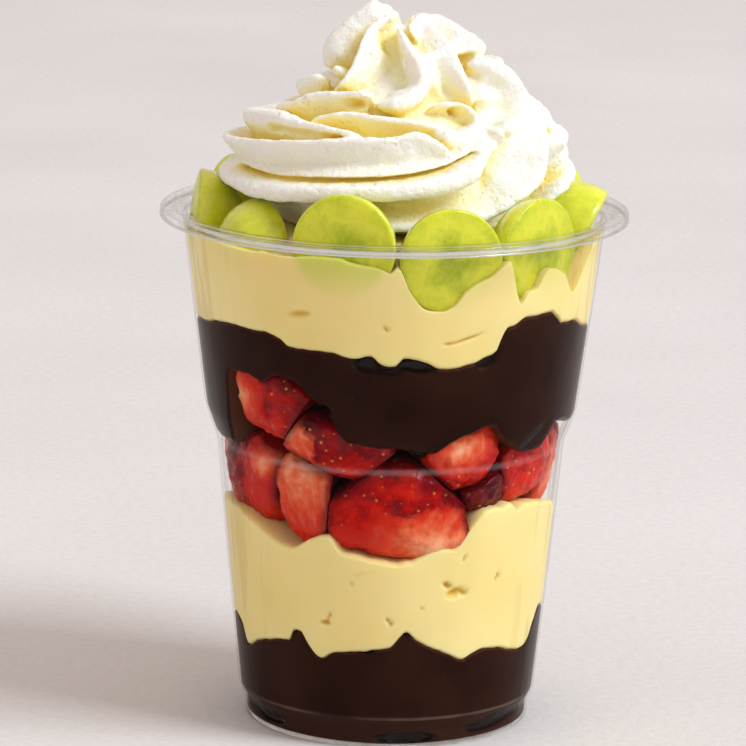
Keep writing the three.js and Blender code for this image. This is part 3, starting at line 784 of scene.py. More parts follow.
def make_chunk(name, piece, planes, rings):
    """A narrow-tipped block, cut flat by its planes, pressed against the wall and made a little lumpy."""
    berry = make_ball(name, rings * 2, rings)
    around, outwards, up = chunk_axes(piece)
    wide, deep, tall = piece["size"]
    middle = piece["middle"]
    add_marks(berry, "own", kind="FLOAT_VECTOR")
    dark, pale, skin, wet, painted_crevice_shade = add_marks(berry, "dark", "pale", "skin", "wet", "painted_crevice_shade")
    own = berry.data.attributes["own"]
    across_skin, up_skin, skin_start = piece["skin"]
    pale_across, pale_up, pale_size = piece["pale"]
    for vertex in berry.data.vertices:
        x, y, z = vertex.co
        swell = (abs(x) ** BOXINESS + abs(y) ** BOXINESS + abs(z) ** BOXINESS) ** (-1 / BOXINESS)
        x, y, z = x * swell, y * swell, z * swell
        narrow = 1 + TIP_NARROWS / 2 * z
        point = middle + around * (x * wide * narrow) + outwards * (y * deep * narrow) + up * (z * tall)
        seed = Vector((0, 0, piece["angle"]))
        bump = noise.noise(point * 0.14 + seed) + 0.6 * noise.noise(point * 0.38)
        bump += 0.4 * noise.noise(point * 0.9)
        point += (point - middle).normalized() * bump * LUMPS
        near = 0
        for normal, far in planes:
            over = point.dot(normal) - far
            near = max(near, smooth_step(over, -CREVICE_SHADE_WIDTH, GAP))
            if over > 0:
                point -= normal * over
        reach = math.hypot(point.x, point.y)
        off_wall = max(0, noise.noise(point * 0.30 + seed) - 0.10)
        off_wall += 0.7 * max(0, noise.noise(point * 0.75) - 0.12)
        wall = wall_radius(point.z) + PRESSED_IN - STANDS_OFF * off_wall
        if reach > wall:
            point.x *= wall / reach
            point.y *= wall / reach
        vertex.co = point * MM
        i = vertex.index
        own.data[i].vector = (x, y, z)
        # How deep the point lies in the painted shade of a gap to a neighbour
        painted_crevice_shade.data[i].value = near * 0.8
        wet.data[i].value = smooth_step(wall_radius(point.z) - math.hypot(point.x, point.y), 0.05, 0.45)
        # Each piece's own darkness, made darker towards its top and its left
        dark.data[i].value = piece["dark"] + 0.30 * z - 0.12 * x
        towards_skin = x * across_skin + z * up_skin
        skin.data[i].value = smooth_step(towards_skin, skin_start - 0.3, skin_start + 0.3)
        if pale_size:
            from_core = math.hypot(x - pale_across, z - pale_up)
            pale.data[i].value = max(0, 1 - from_core / (2 * pale_size))
    face_outwards()
    bpy.ops.object.shade_smooth()
    berry.data.materials.append(berry_look)
    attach(berry, "root")
    return berry


for i, (piece, planes) in enumerate(zip(CHUNKS, planes_between(CHUNKS))):
    number = f"{i + 1:02d}"
    rings = BERRY_RINGS if piece["radius"] > 20 else INNER_RINGS
    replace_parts(make_chunk("berry_" + number, piece, planes, rings), "strawberry_" + number)

# The upper chocolate cream
# The same dark cream again, spooned over the strawberries: it runs down between them in thick lobes, is
# drawn up at the wall on the right, and leaves dark hollows where it misses the wall.
third_meeting = meeting(
    66,
    (-80, 61.2), (-63, 61.6), (-61, 63.5), (-58.5, 77.0), (-56, 78.1), (-48, 78.1), (-43, 77.4), (-36, 79.2),
    (-32, 78.7), (-28, 77.5), (-24, 74.8), (-20, 72.5), (-18, 71.0), (-16, 67.8), (-13, 66.4), (-8, 65.8),
    (4, 65.4), (8, 63.2), (11, 62.9), (14, 63.9), (16, 65.3), (20, 67.1), (25, 68.2), (31, 69.4),
    (34, 69.2), (36, 67.4), (38, 66.1), (44, 63.6), (50, 62.1), (56, 61.9), (58.5, 64.0), (60, 66.5),
    (62, 67.3), (70, 66.7), (82, 65.0), (98, 68.0), (112, 64.6), (128, 64.0), (142, 67.0), (158, 69.2),
    (172, 66.0), (185, 65.0), (200, 68.8), (214, 70.0), (230, 66.4), (245, 65.0), (264, 61.5),
    ripple=0.45,
    seed=3,
)
fourth_meeting = meeting(
    85.4,
    (-80, 86.0), (-69, 86.7), (-61, 87.8), (-51, 88.1), (-40, 88.0), (-34, 87.0), (-31, 85.7), (-17, 85.2),
    (-12, 84.4), (-6, 85.2), (-4, 83.8), (-1, 83.0), (1, 83.1), (3, 84.6), (5, 84.7), (9, 84.1),
    (12, 83.1), (14, 82.6), (18, 82.6), (24, 83.1), (27, 84.3), (31, 85.4), (32.3, 88.0), (34, 90.0),
    (37, 90.6), (41, 91.9), (51, 92.0), (54, 90.7), (57, 89.0), (66, 88.6), (70, 87.3), (78, 86.0),
    (92, 84.6), (105, 83.6), (120, 85.4), (143, 88.0), (160, 85.6), (172, 84.0), (188, 86.0), (204, 83.0),
    (220, 85.0), (236, 87.6), (250, 85.0), (264, 84.6),
    ripple=0.3,
    seed=4,
)
CHOCOLATE_HOLLOWS = [
    (-7.5, 83.4, 3.0, 1.9, 2.2, 0, 0.55),
    (-1, 82.0, 3.4, 0.9, 1.8, 0, 0.5),
    (7, 83.2, 4.6, 1.7, 2.4, -6, 0.55),
    (28.5, 84.0, 3.2, 1.7, 1.8, 22, 0.5),
    (-21.5, 73.2, 2.6, 1.2, 2.6, 0, 0.5),
    (6, 63.0, 9.0, 2.2, 3.0, 0, 0.5),
    (51, 65.2, 5.5, 2.2, 0.8, 38, 0.3),
    (-19.5, 79.6, 3.4, 0.35, 0.5, 24, 0.2),
    (-11.5, 76.2, 1.4, 0.8, 0.7, 60, 0.3),
    (33, 70.4, 2.6, 0.35, 0.7, -25, 0.2),
    (110, 72, 5, 3, 1.6, 0, 0.6),
    (170, 84, 4, 1.5, 2.0, 0, 0.5),
    (215, 74, 6, 3, 1.6, 15, 0.6),
]
upper_chocolate = lay_filling(
    "upper_chocolate_cream", third_meeting, fourth_meeting, 100, 0.25, (0.6, 0.35), CHOCOLATE_HOLLOWS
)
mark_filling(upper_chocolate, third_meeting, fourth_meeting, CHOCOLATE_HOLLOWS)
upper_chocolate.data.materials.append(chocolate)
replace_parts(upper_chocolate, "upper_chocolate")

# The upper custard
# The same custard up to the grapes, which stand in it: it is smeared up over the lower half of their cut
# faces, and it rises inside the ring of grapes to carry the whipped cream.
GRAPE_DEPTH = 0.94


def grape(angle, face, height, radius, lean=0, depth=GRAPE_DEPTH, bulge=0.0, green=0.3):
    """Half a grape by its cut face's angle, distance from the axis, height and radius, how far the face's
    top leans outwards, how deep the half is for its radius, how far the face bulges, and how green it
    makes the custard over it. A depth below 0 turns its skin outwards."""
    return angle, face, height, radius, lean, depth, bulge, green


GRAPES = [
    grape(-87, 41.2, 106.3, 10.2, -4, bulge=1.5, green=0.4),
    grape(-55, 32.6, 103.6, 9.8, 0, depth=-GRAPE_DEPTH, green=0.1),
    grape(-14.5, 41, 107.2, 10.7, bulge=0.5, green=0.85),
    grape(16.5, 41, 104.6, 10.7, bulge=0.6),
    grape(47.5, 40.6, 105, 10.7, bulge=0.6),
    grape(83, 40.2, 105, 9.6, 28, depth=1.4, bulge=0.3, green=0.1),
    grape(114, 40.8, 106, 10.4, -6, bulge=0.6),
    grape(145, 40.6, 107.4, 10.5, bulge=0.6),
    grape(176.5, 40.8, 105.2, 10.4, -4, bulge=0.6),
    grape(208, 40.6, 107, 10.4, bulge=0.6),
    grape(239, 40.8, 105.8, 10.2, bulge=0.6),
]
CUSTARD_LEVEL = 104
CREAM_SEAT = 107
CREAM_SEAT_RADIUS = 33
SMEAR_STARTS = 37
SMEAR_ENDS = 40
custard_edge = meeting(
    CUSTARD_LEVEL,
    (-90, 104.6), (-60, 105.0), (-29, 104.9), (-21, 105.4), (-15, 105.4), (-12, 104.6), (-7, 103.9),
    (-3, 103.3), (-1, 102.5), (1, 104.0), (2.5, 102.2), (4, 99.4), (6.2, 97.0), (9, 95.2), (13.8, 94.6),
    (17, 95.8), (20, 98.5), (23.3, 100.1), (27.7, 101.6), (30.5, 103.5), (33, 104.5), (34, 102.6),
    (36.4, 96.8), (38.4, 94.7), (39.6, 97.2), (43.5, 97.9), (45.6, 100.5), (48.8, 101.6), (54.5, 100.0),
    (58, 97.0), (61, 95.2), (64, 97.5), (68, 100.8), (76, 105.0), (90, 104.6), (100, 103.6),
    (115, 100.8), (130, 104.0), (146, 98.8), (162, 104.0), (178, 100.6), (193, 104.0), (209, 97.8),
    (224, 103.6), (240, 101.6), (256, 104.2),
    ripple=0.35,
    seed=5,
)


def custard_top(angle, radius):
    """The top of the upper custard: its edge at the wall, and its seat for the cream inside."""
    share = smooth_step(radius, CREAM_SEAT_RADIUS, SMEAR_STARTS)
    edge = custard_edge(angle, RIM_RADIUS)
    if radius >= SMEAR_ENDS:
        return edge
    return CREAM_SEAT + (min(edge, CUSTARD_LEVEL) - CREAM_SEAT) * share


UPPER_HOLLOWS = [
    (-27, 93.2, 3.6, 1.0, 0.9, 8, 0.1),
    (-2, 91.1, 1.0, 0.7, 0.8, 0, 0.2),
    (21, 88.7, 5.5, 0.45, 0.8, 17, 0.1),
    (16, 87.9, 1.4, 0.5, 0.8, 5, 0.1),
    (95, 93, 3, 0.9, 0.9, -10, 0.1),
    (170, 95, 2.4, 0.8, 0.9, 20, 0.1),
    (240, 92, 4, 0.8, 0.9, 4, 0.1),
]
upper_custard = lay_filling(
    "upper_custard_cream", fourth_meeting, custard_top, 96, 0.22, (0.5, 0.12), UPPER_HOLLOWS
)
mark_filling(upper_custard, fourth_meeting, custard_top, UPPER_HOLLOWS)
(greens,) = add_marks(upper_custard, "green")
for vertex in upper_custard.data.vertices:
    x, y, z = vertex.co / MM
    bearing = angle_of(x, y)
    for angle, _, height, radius, _, _, _, strength in GRAPES:
        across = math.radians(turned_from(bearing, angle)) * wall_radius(z)
        in_face = smooth_step(1.06 - math.hypot(across, z - height) / radius, 0, 0.3)
        tint = strength * in_face * smooth_step(z, height - radius - 3, height)
        greens.data[vertex.index].value = max(greens.data[vertex.index].value, tint)
upper_custard.data.materials.append(custard)
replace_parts(upper_custard, "upper_custard")

# The grapes
# Green seedless grapes cut in half and stood in a ring with their wet cut faces against the wall, but for
# one whose skin is outside. The skin shows as a thin bright line round a face, in which pale fibres run
# out from a darker middle.
GRAPE_RINGS = 56
GRAPE_EDGE = 0.35

grape_look, tree, shader = start_material(
    "grape",
    Roughness=0.25,
    IOR=1.38,
    Specular_IOR_Level=0.35,
    Subsurface_Weight=0.5,
    Subsurface_Radius=(0.9, 1.0, 0.06),
    Subsurface_Scale=0.003,
    Coat_Roughness=0.07,
)
where = object_place(tree)
on_slice = add_node(tree, "Attribute", attribute_name="slice").outputs["Vector"]
is_cut = marked(tree, "cut")
from_middle = add_node(tree, "VectorMath", {0: on_slice}, operation="LENGTH").outputs["Value"]
patches = mottle(tree, where, 6, 4, 0.6)
wavering = joined(tree, "MULTIPLY_ADD", patches, 1.4, from_middle)
flesh = ramp(
    tree,
    between(tree, wavering, 0.65, 1.9),
    (0.05, (0.27, 0.36, 0.006)),
    (0.30, (0.44, 0.50, 0.010)),
    (0.55, (0.70, 0.69, 0.040)),
    (0.90, (0.46, 0.52, 0.010)),
)
cells = between(tree, mottle(tree, where, 1.8, 4, 0.6), 0.42, 0.72, 0.0, 0.55)
flesh = mixed(tree, cells, flesh, (0.72, 0.73, 0.06))
# Fibres are a pattern round the middle, drawn out along the radius
spokes = add_node(tree, "SeparateXYZ", {0: on_slice})
bearing = joined(tree, "ARCTAN2", spokes.outputs[1], spokes.outputs[0])
polar = add_node(tree, "CombineXYZ", {0: bearing, 1: from_middle}).outputs[0]
drawn = stretched(tree, polar, 4.5, 1.3, 1)
fibre_inputs = {"Vector": drawn, "Scale": 2.4, "Detail": 4.0, "Roughness": 0.6}
fibres = add_node(tree, "TexNoise", fibre_inputs).outputs["Fac"]
fibre = between(tree, fibres, 0.56, 0.76, 0.0, 0.32)
mid_way = between(tree, from_middle, 0.1, 0.35)
fibre = joined(tree, "MULTIPLY", fibre, mid_way)
flesh = mixed(tree, fibre, flesh, (0.80, 0.81, 0.20))
skin_line = between(tree, from_middle, 0.985, 0.995, 0.0, 0.4)
flesh = mixed(tree, skin_line, flesh, (0.74, 0.80, 0.20))
skin = ramp(tree, patches, (0.32, (0.54, 0.59, 0.010)), (0.68, (0.78, 0.79, 0.035)))
speckle = between(tree, mottle(tree, where, 1.2, 4, 0.6), 0.50, 0.72, 0.0, 0.35)
skin = mixed(tree, speckle, skin, (0.84, 0.84, 0.14))
tree.links.new(mixed(tree, is_cut, skin, flesh), shader.inputs["Base Color"])
pulp = joined(tree, "ADD", fibres, patches)
relief(tree, shader, pulp, 0.18, 0.5)
# The whole skin is wet, the cut face a little less
tree.links.new(between(tree, is_cut, 0, 1, 1.0, 0.3), shader.inputs["Coat Weight"])


def make_grape(name, angle, face, height, radius, lean, depth, bulge):
    """Half a grape from a sphere: one half of its rings are laid flat as the cut face."""
    half = make_ball(name, GRAPE_RINGS * 2, GRAPE_RINGS)
    across = place(angle + 90, 1, 0) / MM
    out = Matrix.Rotation(math.radians(lean), 3, across) @ (place(angle, 1, 0) / MM)
    up = out.cross(across)
    up = up if up.z > 0 else -up
    out = out if depth > 0 else -out
    middle = place(angle, face, height) / MM
    add_marks(half, "slice", kind="FLOAT_VECTOR")
    (cuts,) = add_marks(half, "cut")
    slices = half.data.attributes["slice"]
    for vertex in half.data.vertices:
        x, y, z = vertex.co
        ring = math.hypot(x, y)
        i = vertex.index
        if z < 0:
            along = abs(depth) * radius * z - GRAPE_EDGE
            wide = 1.0
            slices.data[i].vector = (x, y, z)
        else:
            # The rings of the face lie evenly from its rim to its middle, and the first ones round it off
            share = math.acos(max(-1, min(1, z))) / (math.pi / 2)
            wide = share / ring if ring > 1e-6 else 0
            inwards = (1 - share) * radius
            along = bulge * (1 - share * share) - GRAPE_EDGE * max(0, 1 - inwards / GRAPE_EDGE) ** 2
            along += 0.2 * noise.noise(Vector((x * 2, y * 2, angle))) * min(1, inwards / 2)
            slices.data[i].vector = (x * wide, y * wide, 0)
            cuts.data[i].value = 1
        point = middle + across * (x * wide * radius) + up * (y * wide * radius) + out * along
        vertex.co = point * MM
    face_outwards()
    bpy.ops.object.shade_smooth()
    half.data.materials.append(grape_look)
    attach(half, "root")
    return half


for i, (*shape, _) in enumerate(GRAPES):
    number = f"{i + 1:02d}"
    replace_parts(make_grape("half_grape_" + number, *shape), "grape_" + number)

# The whipped cream
# Stiff cream, piped through a fluted nozzle in rising turns and then drawn up to a point. Each flute
# leaves a sharp fold: the low ones climb to the right and come round again, the upper ones run down
# like petals. Light comes back golden out of the deep folds, and small holes are left by air.
CREAM_STEP = 1.0
CREST_SPANS = 80
CREAM_VOXEL = 0.42
CREAM_KEPT = 0.55
MOUND_SIDES = 72
END_TAPER = 4
CREASE_STEPS = 24
SHELTER_REACH = 9
SHELTER_RAYS = 9
RAY_TURN = 2.399963
SECTION_SHARES = [0.0, 0.02, 0.06, 0.12, 0.2, 0.32, 0.48, 0.7, 1]
MOUND = [
    (25, 107.3),
    (27, 112),
    (28, 117),
    (25.5, 122),
    (22.5, 126.5),
    (19, 130),
    (14, 134),
    (8.5, 138),
    (5.5, 142),
    (3.5, 146),
    (2, 147),
]


def run_through(points, share):
    """A place on the smooth curve through points, from 0 to 1 along it."""
    last = len(points) - 1
    along = min(share * last, last - 1e-9)
    i = int(along)
    u = along - i
    before, start, end, after = (Vector(points[max(0, min(last, k))]) for k in (i - 1, i, i + 1, i + 2))
    if i == 0:
        before = 2 * start - end
    if i == last - 1:
        after = 2 * end - start
    bend = 2 * before - 5 * start + 4 * end - after
    twist = 3 * start - before - 3 * end + after
    return 0.5 * (2 * start + (end - before) * u + bend * u * u + twist * u**3)


def on_crest(crest, share):
    """A place along a crest whose points are given as angle, radius and height."""
    return place(*run_through(crest, share)) / MM


def spread(value, share):
    """A value that is one number, or a list of them spread evenly along a fold."""
    if isinstance(value, (int, float)):
        return value
    last = len(value) - 1
    i = min(int(share * last), last - 1)
    return value[i] + (value[i + 1] - value[i]) * (share * last - i)


def fold(*crest, lift, deep, low, high, edge=0.7, blunt=1.0, hollow=1.3):
    """A fold along a crest: how steeply it stands, its depth, how far its root reaches to its lower or
    left side and to the other one, half the thickness of its edge, how blunt its ends are, and how
    hollow its flanks are."""
    return dict(crest=crest, lift=lift, deep=deep, low=low, high=high, edge=edge, blunt=blunt, hollow=hollow)


def make_fold(crest, lift, deep, low, high, edge, blunt, hollow):
    """One fold as a closed body, its section carried along the crest in even steps."""
    span = CREST_SPANS
    places = [on_crest(crest, i / span) for i in range(span + 1)]
    run = [0]
    for start, end in zip(places, places[1:]):
        run.append(run[-1] + (end - start).length)
    steps = max(8, round(run[-1] / CREAM_STEP))
    points, faces = [], []
    sides = len(SECTION_SHARES) * 2
    for i in range(steps + 1):
        want = run[-1] * i / steps
        k = max(0, min(span - 1, next(j for j in range(span + 1) if run[j] >= want - 1e-9) - 1))
        share = (k + (want - run[k]) / max(1e-9, run[k + 1] - run[k])) / span
        at = on_crest(crest, share)
        along = on_crest(crest, min(1, share + 0.004)) - on_crest(crest, max(0, share - 0.004))
        along.normalize()
        steep = math.radians(spread(lift, share))
        out = Vector((at.x, at.y, 0)).normalized() * math.cos(steep) + Vector((0, 0, math.sin(steep)))
        out = (out - along * out.dot(along)).normalized()
        across = along.cross(out)
        from_end = min(want, run[-1] - want)
        full = min(1, (from_end + blunt) / (END_TAPER + blunt)) ** 0.6
        root = min(spread(deep, share), math.hypot(at.x, at.y) + 0.5)
        thick = spread(edge, share)
        ring = []
        for side, wide in ((1, low), (-1, high)):
            half = []
            for part in SECTION_SHARES:
                down = root * part
                nose = math.sqrt(max(0, 1 - (1 - min(1, down / thick)) ** 2))
                width = thick * nose + max(0, spread(wide, share) - thick) * part**hollow
                half.append(at + out * (-down - (1 - full) * root * 0.4) + across * side * width * full)
            ring += half if side > 0 else half[::-1]
        points += ring
    for i in range(steps):
        for j in range(sides):
            k = (j + 1) % sides
            a = i * sides
            faces.append((a + j, a + k, a + sides + k, a + sides + j))
    faces.append(tuple(range(sides))[::-1])
    faces.append(tuple(range(steps * sides, (steps + 1) * sides)))
    return make_piece("fold", [point * MM for point in points], [], faces)


FOLDS = [
    # The lowest fold has two lips with a groove between them
    fold(
        (-250, 34.5, 111.5), (-165, 35.8, 112.6), (-78, 36.8, 115.4), (-50, 36.8, 114.9),
        (-20, 36.3, 116.3), (14, 35.6, 118.2), (26, 34.9, 120.4), (35, 33.2, 123.2), (44, 31.2, 127),
        (52, 29.2, 129.5),
        lift=[-20, -20, -20, -14, 0, 14], deep=11, low=3, high=4.2, edge=[1.1, 1.1, 1.2, 1.6, 1.8, 1.8],
        hollow=0.7,
    ),
    fold(
        (-250, 34, 115.8), (-165, 34.8, 117), (-80, 35.6, 116.6), (-62, 35.5, 117.3), (-30, 35.2, 117.8),
        (2, 34.8, 118.8), (15, 34.3, 120.3), (26, 33.3, 122.4), (34, 31.8, 125.1), (42, 29.9, 127.6),
        lift=[8, 6, 0, 4, 14], deep=9, low=5, high=0.8, edge=0.5, hollow=0.8,
    ),
    # The second dips at its end
    fold(
        (70, 36, 114), (90, 37.4, 117.4), (130, 37.2, 119), (180, 36.4, 120.6), (240, 35.6, 122.4),
        (282, 35.8, 124.2), (300, 35, 125.3), (320, 33, 126.4), (340, 31.9, 127.6), (360, 31.2, 128.4),
        (368, 30.9, 129.4), (377, 30.6, 127), (382, 30.3, 124.6), (387, 29.8, 123.2), (393, 29, 122.9),
        lift=[34, 34, 34, 38, 40, 40, 30], deep=11, low=[3.6, 3.6, 3.8, 5.5, 8.4, 8.4, 6.5], high=3,
        edge=[2, 1.4, 0.8, 0.5, 0.5, 0.5, 0.5, 0.6], hollow=1.1,
    ),
    # A soft lobe over the pocket
    fold(
        (16, 26, 129.2), (22, 28, 127.8), (28, 28.6, 127), (35, 28.2, 127.6), (41, 27.4, 128.6),
        (47, 26, 130),
        lift=15, deep=8, low=2.6, high=2.6, edge=1.9,
    ),
    # The third
    fold(
        (72, 34.4, 126.6), (100, 35.4, 125.2), (150, 33.6, 126), (200, 32.4, 127.4), (240, 31.6, 127.2),
        (272, 31.2, 128.8), (287, 30.6, 129.8), (305, 30, 130.6), (321, 30.2, 130), (336, 30.4, 129.4),
        (352, 30.7, 128),
        lift=45, deep=11, low=[4.4, 4.4, 4.4, 5.0, 5.4, 5.4], high=3.6,
        edge=[2.2, 1.6, 1.0, 1.6, 2.2, 0.7, 0.5],
    ),
    # A thin one that ends in a loop
    fold(
        (-50, 26, 127.6), (-38, 25.4, 130.6), (-24, 25, 131.9), (-8, 25, 131.5), (8, 25, 130.8),
        (18, 25, 129.9), (28, 24.8, 128.6), (35, 24.6, 127.9), (41.5, 24.4, 128.8), (44.5, 23.8, 130.6),
        (42, 22.8, 132.4), (36, 21.6, 133.4), (27, 20.6, 133.6), (18, 19.6, 133),
        lift=35, deep=[9, 9, 6, 6], low=[4, 4, 1.4, 1.3], high=[2.5, 2.5, 1.4, 1.3], edge=0.6,
    ),
    # The big lobe on the right, lowest in front and highest behind
    fold(
        (-20, 33, 110.5), (10, 33, 110.2), (34, 33.5, 111.8), (46, 36, 115.4), (54, 36.7, 118.3),
        (58, 36.4, 121.2), (62, 35.4, 125), (75, 31.8, 129.6), (100, 29.5, 131.5),
        lift=[0, 0, 10, 30], deep=12, low=3, high=9, edge=0.9,
    ),
    # A broad face that falls away on the far right
    fold(
        (80, 29.5, 132.5), (84, 31.4, 130.4), (87, 33.4, 126.6), (88, 35.6, 122.6), (88, 37.2, 117.4),
        lift=22, deep=9, low=9, high=9, edge=1.6, blunt=2,
    ),
    # The fourth goes on round the back and comes forward on the left
    fold(
        (90, 29.8, 131), (150, 27.5, 132.5), (200, 26, 131), (250, 24.8, 129.6), (271, 24.6, 130),
        (296, 24.2, 132.2), (308, 22.8, 134.3), (320, 21.9, 135.2), (334, 21, 135.6), (343, 20.8, 136.2),
        (348, 21.2, 134.6),
        lift=45, deep=9, low=4, high=2.6, edge=[1.4, 1, 0.8, 0.6],
    ),
    # The upper right lobe, its edge and its body
    fold(
        (50, 20, 142), (62, 22.8, 141), (72, 25.2, 138.6), (76, 27.6, 135), (73, 29, 131.6),
        (64, 29.4, 129.6), (54, 29.2, 128.8), (47, 28, 128.6),
        lift=25, deep=9, low=4, high=6, edge=1.5,
    ),
    fold(
        (54, 14, 141.5), (62, 18, 138.8), (66, 22, 135), (62, 24.5, 131),
        lift=35, deep=12, low=6, high=6, edge=4.4,
    ),
    # The highest turn, a block on the left, and the wedge below the left petal
    fold(
        (60, 22.6, 141), (100, 21.6, 140), (150, 21, 138.5), (200, 20.6, 137), (240, 20.6, 134.2),
        (271, 20.4, 135.2), (286, 19.6, 136.6), (298, 18, 137.8), (304, 16.5, 137.4),
        lift=50, deep=9, low=4.5, high=3.5, edge=1.0, blunt=3,
    ),
    fold(
        (-62, 16.2, 138.6), (-50, 16.8, 139.4), (-39, 16.8, 138.6),
        lift=30, deep=6, low=2.5, high=2, edge=0.8, blunt=2,
    ),
    # The petals that run down from the top: left, front, middle, right and far right
    fold(
        (-30, 3.0, 151.8), (-66, 8.2, 149.9), (-78, 13.0, 146.4), (-80, 15.8, 142.4), (-80, 17.0, 139.4),
        lift=20, deep=10, low=5.5, high=4, edge=3.8, blunt=3,
    ),
    fold(
        (-2, 4.5, 149.4), (-14, 6, 149.6), (-30, 8.2, 148.6), (-36, 10.8, 146.8), (-35, 13.2, 144.2),
        (-34.5, 15.6, 140.9), (-38, 18.4, 137), (-48, 19.8, 134.6),
        lift=12, deep=9, low=1.6, high=3.4, edge=0.6,
    ),
    fold(
        (-4, 6, 148.8), (4, 9.5, 146.4), (12, 13, 143.8), (17.5, 16, 140.9), (19, 17.8, 138.6),
        (15.5, 19.4, 136.2), (7, 21, 134.4), (-3, 21.6, 133.4), (-12, 21.6, 133.6),
        lift=12, deep=8, low=[2.2, 3.0, 3.6, 3.2], high=[2.4, 3.2, 3.4, 3], edge=[0.6, 0.9, 1.6, 1.6],
    ),
    fold(
        (60, 5, 149.6), (62, 8.5, 147.6), (62, 12, 144.8), (55, 14.8, 142.8), (48.5, 17.5, 140.8),
        (45.5, 19.4, 138.8), (47, 21.2, 136.2), (50, 22.6, 133.8),
        lift=10, deep=10, low=6, high=2.5, edge=0.8,
    ),
    fold(
        (100, 4, 150.2), (89, 6.2, 149.8), (89, 9.5, 149), (88, 13, 147), (79, 17, 145),
        (72, 19.7, 143.3), (67.5, 20.3, 141),
        lift=20, deep=10, low=5, high=5, edge=1.2,
    ),
    # The petals behind
    fold(
        (130, 5, 150), (138, 10, 148), (140, 15, 143.5), (134, 19, 139.5),
        lift=16, deep=10, low=4, high=6, edge=1,
    ),
    fold(
        (185, 5, 150.4), (186, 10, 148), (180, 14.5, 143.5), (170, 19, 139),
        lift=14, deep=10, low=4, high=6, edge=1,
    ),
    fold(
        (236, 4, 151), (232, 9, 148.6), (222, 13.5, 144), (210, 18.5, 138.5),
        lift=14, deep=10, low=4, high=6, edge=1,
    ),
]

mound_run = [Vector((0, MOUND[0][1])), *(Vector(corner) for corner in MOUND), Vector((0, MOUND[-1][1]))]
cream = spin_outline("piped_cream", mound_run, MOUND_SIDES)
bodies = [make_fold(**one) for one in FOLDS]
bpy.ops.object.select_all(action="DESELECT")
for body in [cream, *bodies]:
    body.select_set(True)
bpy.context.view_layer.objects.active = cream
bpy.ops.object.join()
face_outwards()


def apply_modifier(piece, kind, **settings):
    """A modifier applied at once with its settings."""
    modifier = piece.modifiers.new(kind, kind)
    for name, value in settings.items():
        setattr(modifier, name, value)
    bpy.ops.object.modifier_apply(modifier=modifier.name)


# All folds run together into one skin
apply_modifier(cream, "REMESH", mode="VOXEL", voxel_size=CREAM_VOXEL * MM)
# The groove between the two lips of the lowest fold
LIP_GROOVE = [
    (-70, 34.9, 118.4), (-45, 34.9, 118.9), (-20, 34.6, 119.4), (2, 34.2, 120.4), (18, 33.2, 122.2),
    (30, 32, 124.8),
]
# Creases that were left between folds: places along them, their width and depth, and how far in or out of
# a crease's line the cream's face may lie
CREASES = [
    ([(-12, 13, 145.6), (-9, 14, 143.0), (-6, 16, 140.0), (-4, 18, 137.2)], 1.8, 5.5, 4),
    ([(-36, 19, 134.6), (-24, 20.5, 133.0), (-12, 21.5, 131.6), (0, 22, 131.0)], 1.3, 3.0, 0),
    ([(25, 24.5, 131.2), (31, 24.5, 131.0), (36, 24, 131.2)], 1.4, 4.5, 3),
    ([(42, 30, 126.4), (38, 30.5, 123.8), (33, 31, 122.0)], 2.2, 5.5, 0),
    ([(50, 34.5, 124.5), (55, 35, 126.5), (59, 34.5, 129.0)], 1.0, 3.0, 3),
    ([(38, 15.5, 141), (40, 16.5, 138), (41, 17.5, 135.5)], 2.2, 2.5, 0),
    (LIP_GROOVE, 1.1, 4.2, 0),
    ([(-58, 30.8, 127.4), (-40, 30.6, 127.4), (-22, 30.6, 127.2)], 1.0, 2.4, 0),
]


def read_points(body, what):
    """The places or normals of all points of a body, one to a row."""
    rows = np.empty(len(body.data.vertices) * 3)
    body.data.vertices.foreach_get(what, rows)
    return rows.reshape(-1, 3)


def move_points(body, places):
    """Moves all points of a body to new places."""
    body.data.vertices.foreach_set("co", places.ravel())
    body.data.update()


def press_crease(body, run, width, depth, give):
    """Pushes the points near a line inwards, as where two folds meet but don't run together."""
    steps = CREASE_STEPS * (len(run) - 1)
    places = read_points(body, "co")
    away = np.full(len(places), math.inf)
    for i in range(steps + 1):
        point = np.array(on_crest(run, i / steps))
        apart = places / MM - point
        outwards = apart[:, 0] * point[0] + apart[:, 1] * point[1]
        outwards /= math.hypot(point[0], point[1])
        beyond = np.maximum(np.abs(outwards) - give, 0)
        beside = np.maximum(np.sum(apart * apart, axis=1) - outwards * outwards, 0)
        away = np.minimum(away, np.sqrt(beside + beyond * beyond))
    share = np.clip(1 - away / (width * 1.5), 0, 1)
    share = share * share * (3 - 2 * share) * depth * MM
    flat = np.maximum(np.linalg.norm(places[:, :2], axis=1), 0.1 * MM)
    places[:, :2] -= places[:, :2] * (share / flat)[:, None]
    move_points(body, places)


for crease in CREASES:
    press_crease(cream, *crease)
# Fine ripples that the piping leaves
places = read_points(cream, "co")
normals = read_points(cream, "normal")
ripples = [
    0.20 * noise.noise(here * 0.35) + 0.16 * noise.noise(here * 0.9) + 0.09 * noise.noise(here * 1.9)
    for here in (Vector(row) / MM for row in places)
]
move_points(cream, places + normals * np.array(ripples)[:, None] * MM)
apply_modifier(cream, "SMOOTH", factor=0.5, iterations=1)
apply_modifier(cream, "DECIMATE", ratio=CREAM_KEPT)


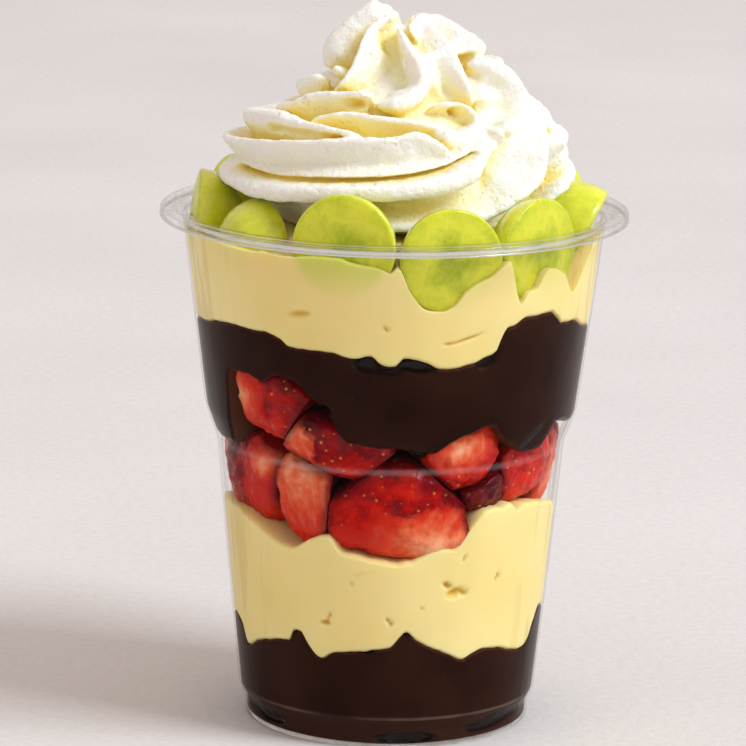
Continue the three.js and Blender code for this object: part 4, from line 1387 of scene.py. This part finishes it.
def mark_shelter(body, reach, rays):
    """Writes how much of the open space before each point of a body its own folds take, from 0 to 1."""
    tree = BVHTree.FromObject(body, bpy.context.evaluated_depsgraph_get())
    turns = [i * RAY_TURN for i in range(rays)]
    rises = [math.sqrt((i + 0.5) / rays) for i in range(rays)]
    sheltered = np.empty(len(body.data.vertices))
    for vertex in body.data.vertices:
        normal = vertex.normal
        start = vertex.co + normal * (0.25 * MM)
        side = normal.orthogonal().normalized()
        other = normal.cross(side)
        stopped = 0.0
        for turn, rise in zip(turns, rises):
            flat = math.cos(turn + vertex.index) * side + math.sin(turn + vertex.index) * other
            way = flat * rise + normal * math.sqrt(1 - rise * rise)
            hit = tree.ray_cast(start, way, reach * MM)
            if hit[0] is not None:
                stopped += 1 - hit[3] / (reach * MM) * 0.5
        sheltered[vertex.index] = stopped / rays
    pairs = np.empty(len(body.data.edges) * 2, dtype=int)
    body.data.edges.foreach_get("vertices", pairs)
    first, second = pairs.reshape(-1, 2).T
    count = len(sheltered)
    neighbours = 1 + np.bincount(first, minlength=count) + np.bincount(second, minlength=count)
    for _ in range(3):
        around = np.bincount(first, sheltered[second], count) + np.bincount(second, sheltered[first], count)
        sheltered = (sheltered + around) / neighbours
    (marks,) = add_marks(body, "shelter")
    marks.data.foreach_set("value", sheltered.astype(np.float32))


mark_shelter(cream, SHELTER_REACH, SHELTER_RAYS)
bpy.ops.object.shade_smooth()
cream_look, tree, shader = start_material(
    "whipped_cream",
    Roughness=0.5,
    IOR=1.4,
    Specular_IOR_Level=0.3,
    Subsurface_Weight=0.7,
    Subsurface_Radius=(1.0, 0.75, 0.36),
    Subsurface_Scale=0.0012,
)
where = object_place(tree)
shelter = marked(tree, "shelter")
# Painted light and shade: the sheltered folds are coloured golden, for the light that comes back out of them
colour = ramp(
    tree,
    shelter,
    (0.10, (0.94, 0.915, 0.855)),
    (0.26, (0.96, 0.91, 0.74)),
    (0.46, (0.97, 0.86, 0.47)),
    (0.74, (0.97, 0.77, 0.17)),
)
tree.links.new(colour, shader.inputs["Base Color"])
holes = add_node(tree, "TexVoronoi", {"Vector": where, "Scale": 1 / (1.4 * MM), "Randomness": 1.0})
pits = between(tree, holes.outputs["Distance"], 0.10, 0.34)
clusters = between(tree, mottle(tree, where, 8, 2), 0.50, 0.60)
grain = mottle(tree, where, 1.2, 4, 0.6)
surface = mixed(tree, clusters, grain, mixed(tree, 0.6, grain, pits))
relief(tree, shader, surface, 0.6, 0.9)
cream.data.materials.append(cream_look)
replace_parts(cream, "whipped_cream")
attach(cream, "root")
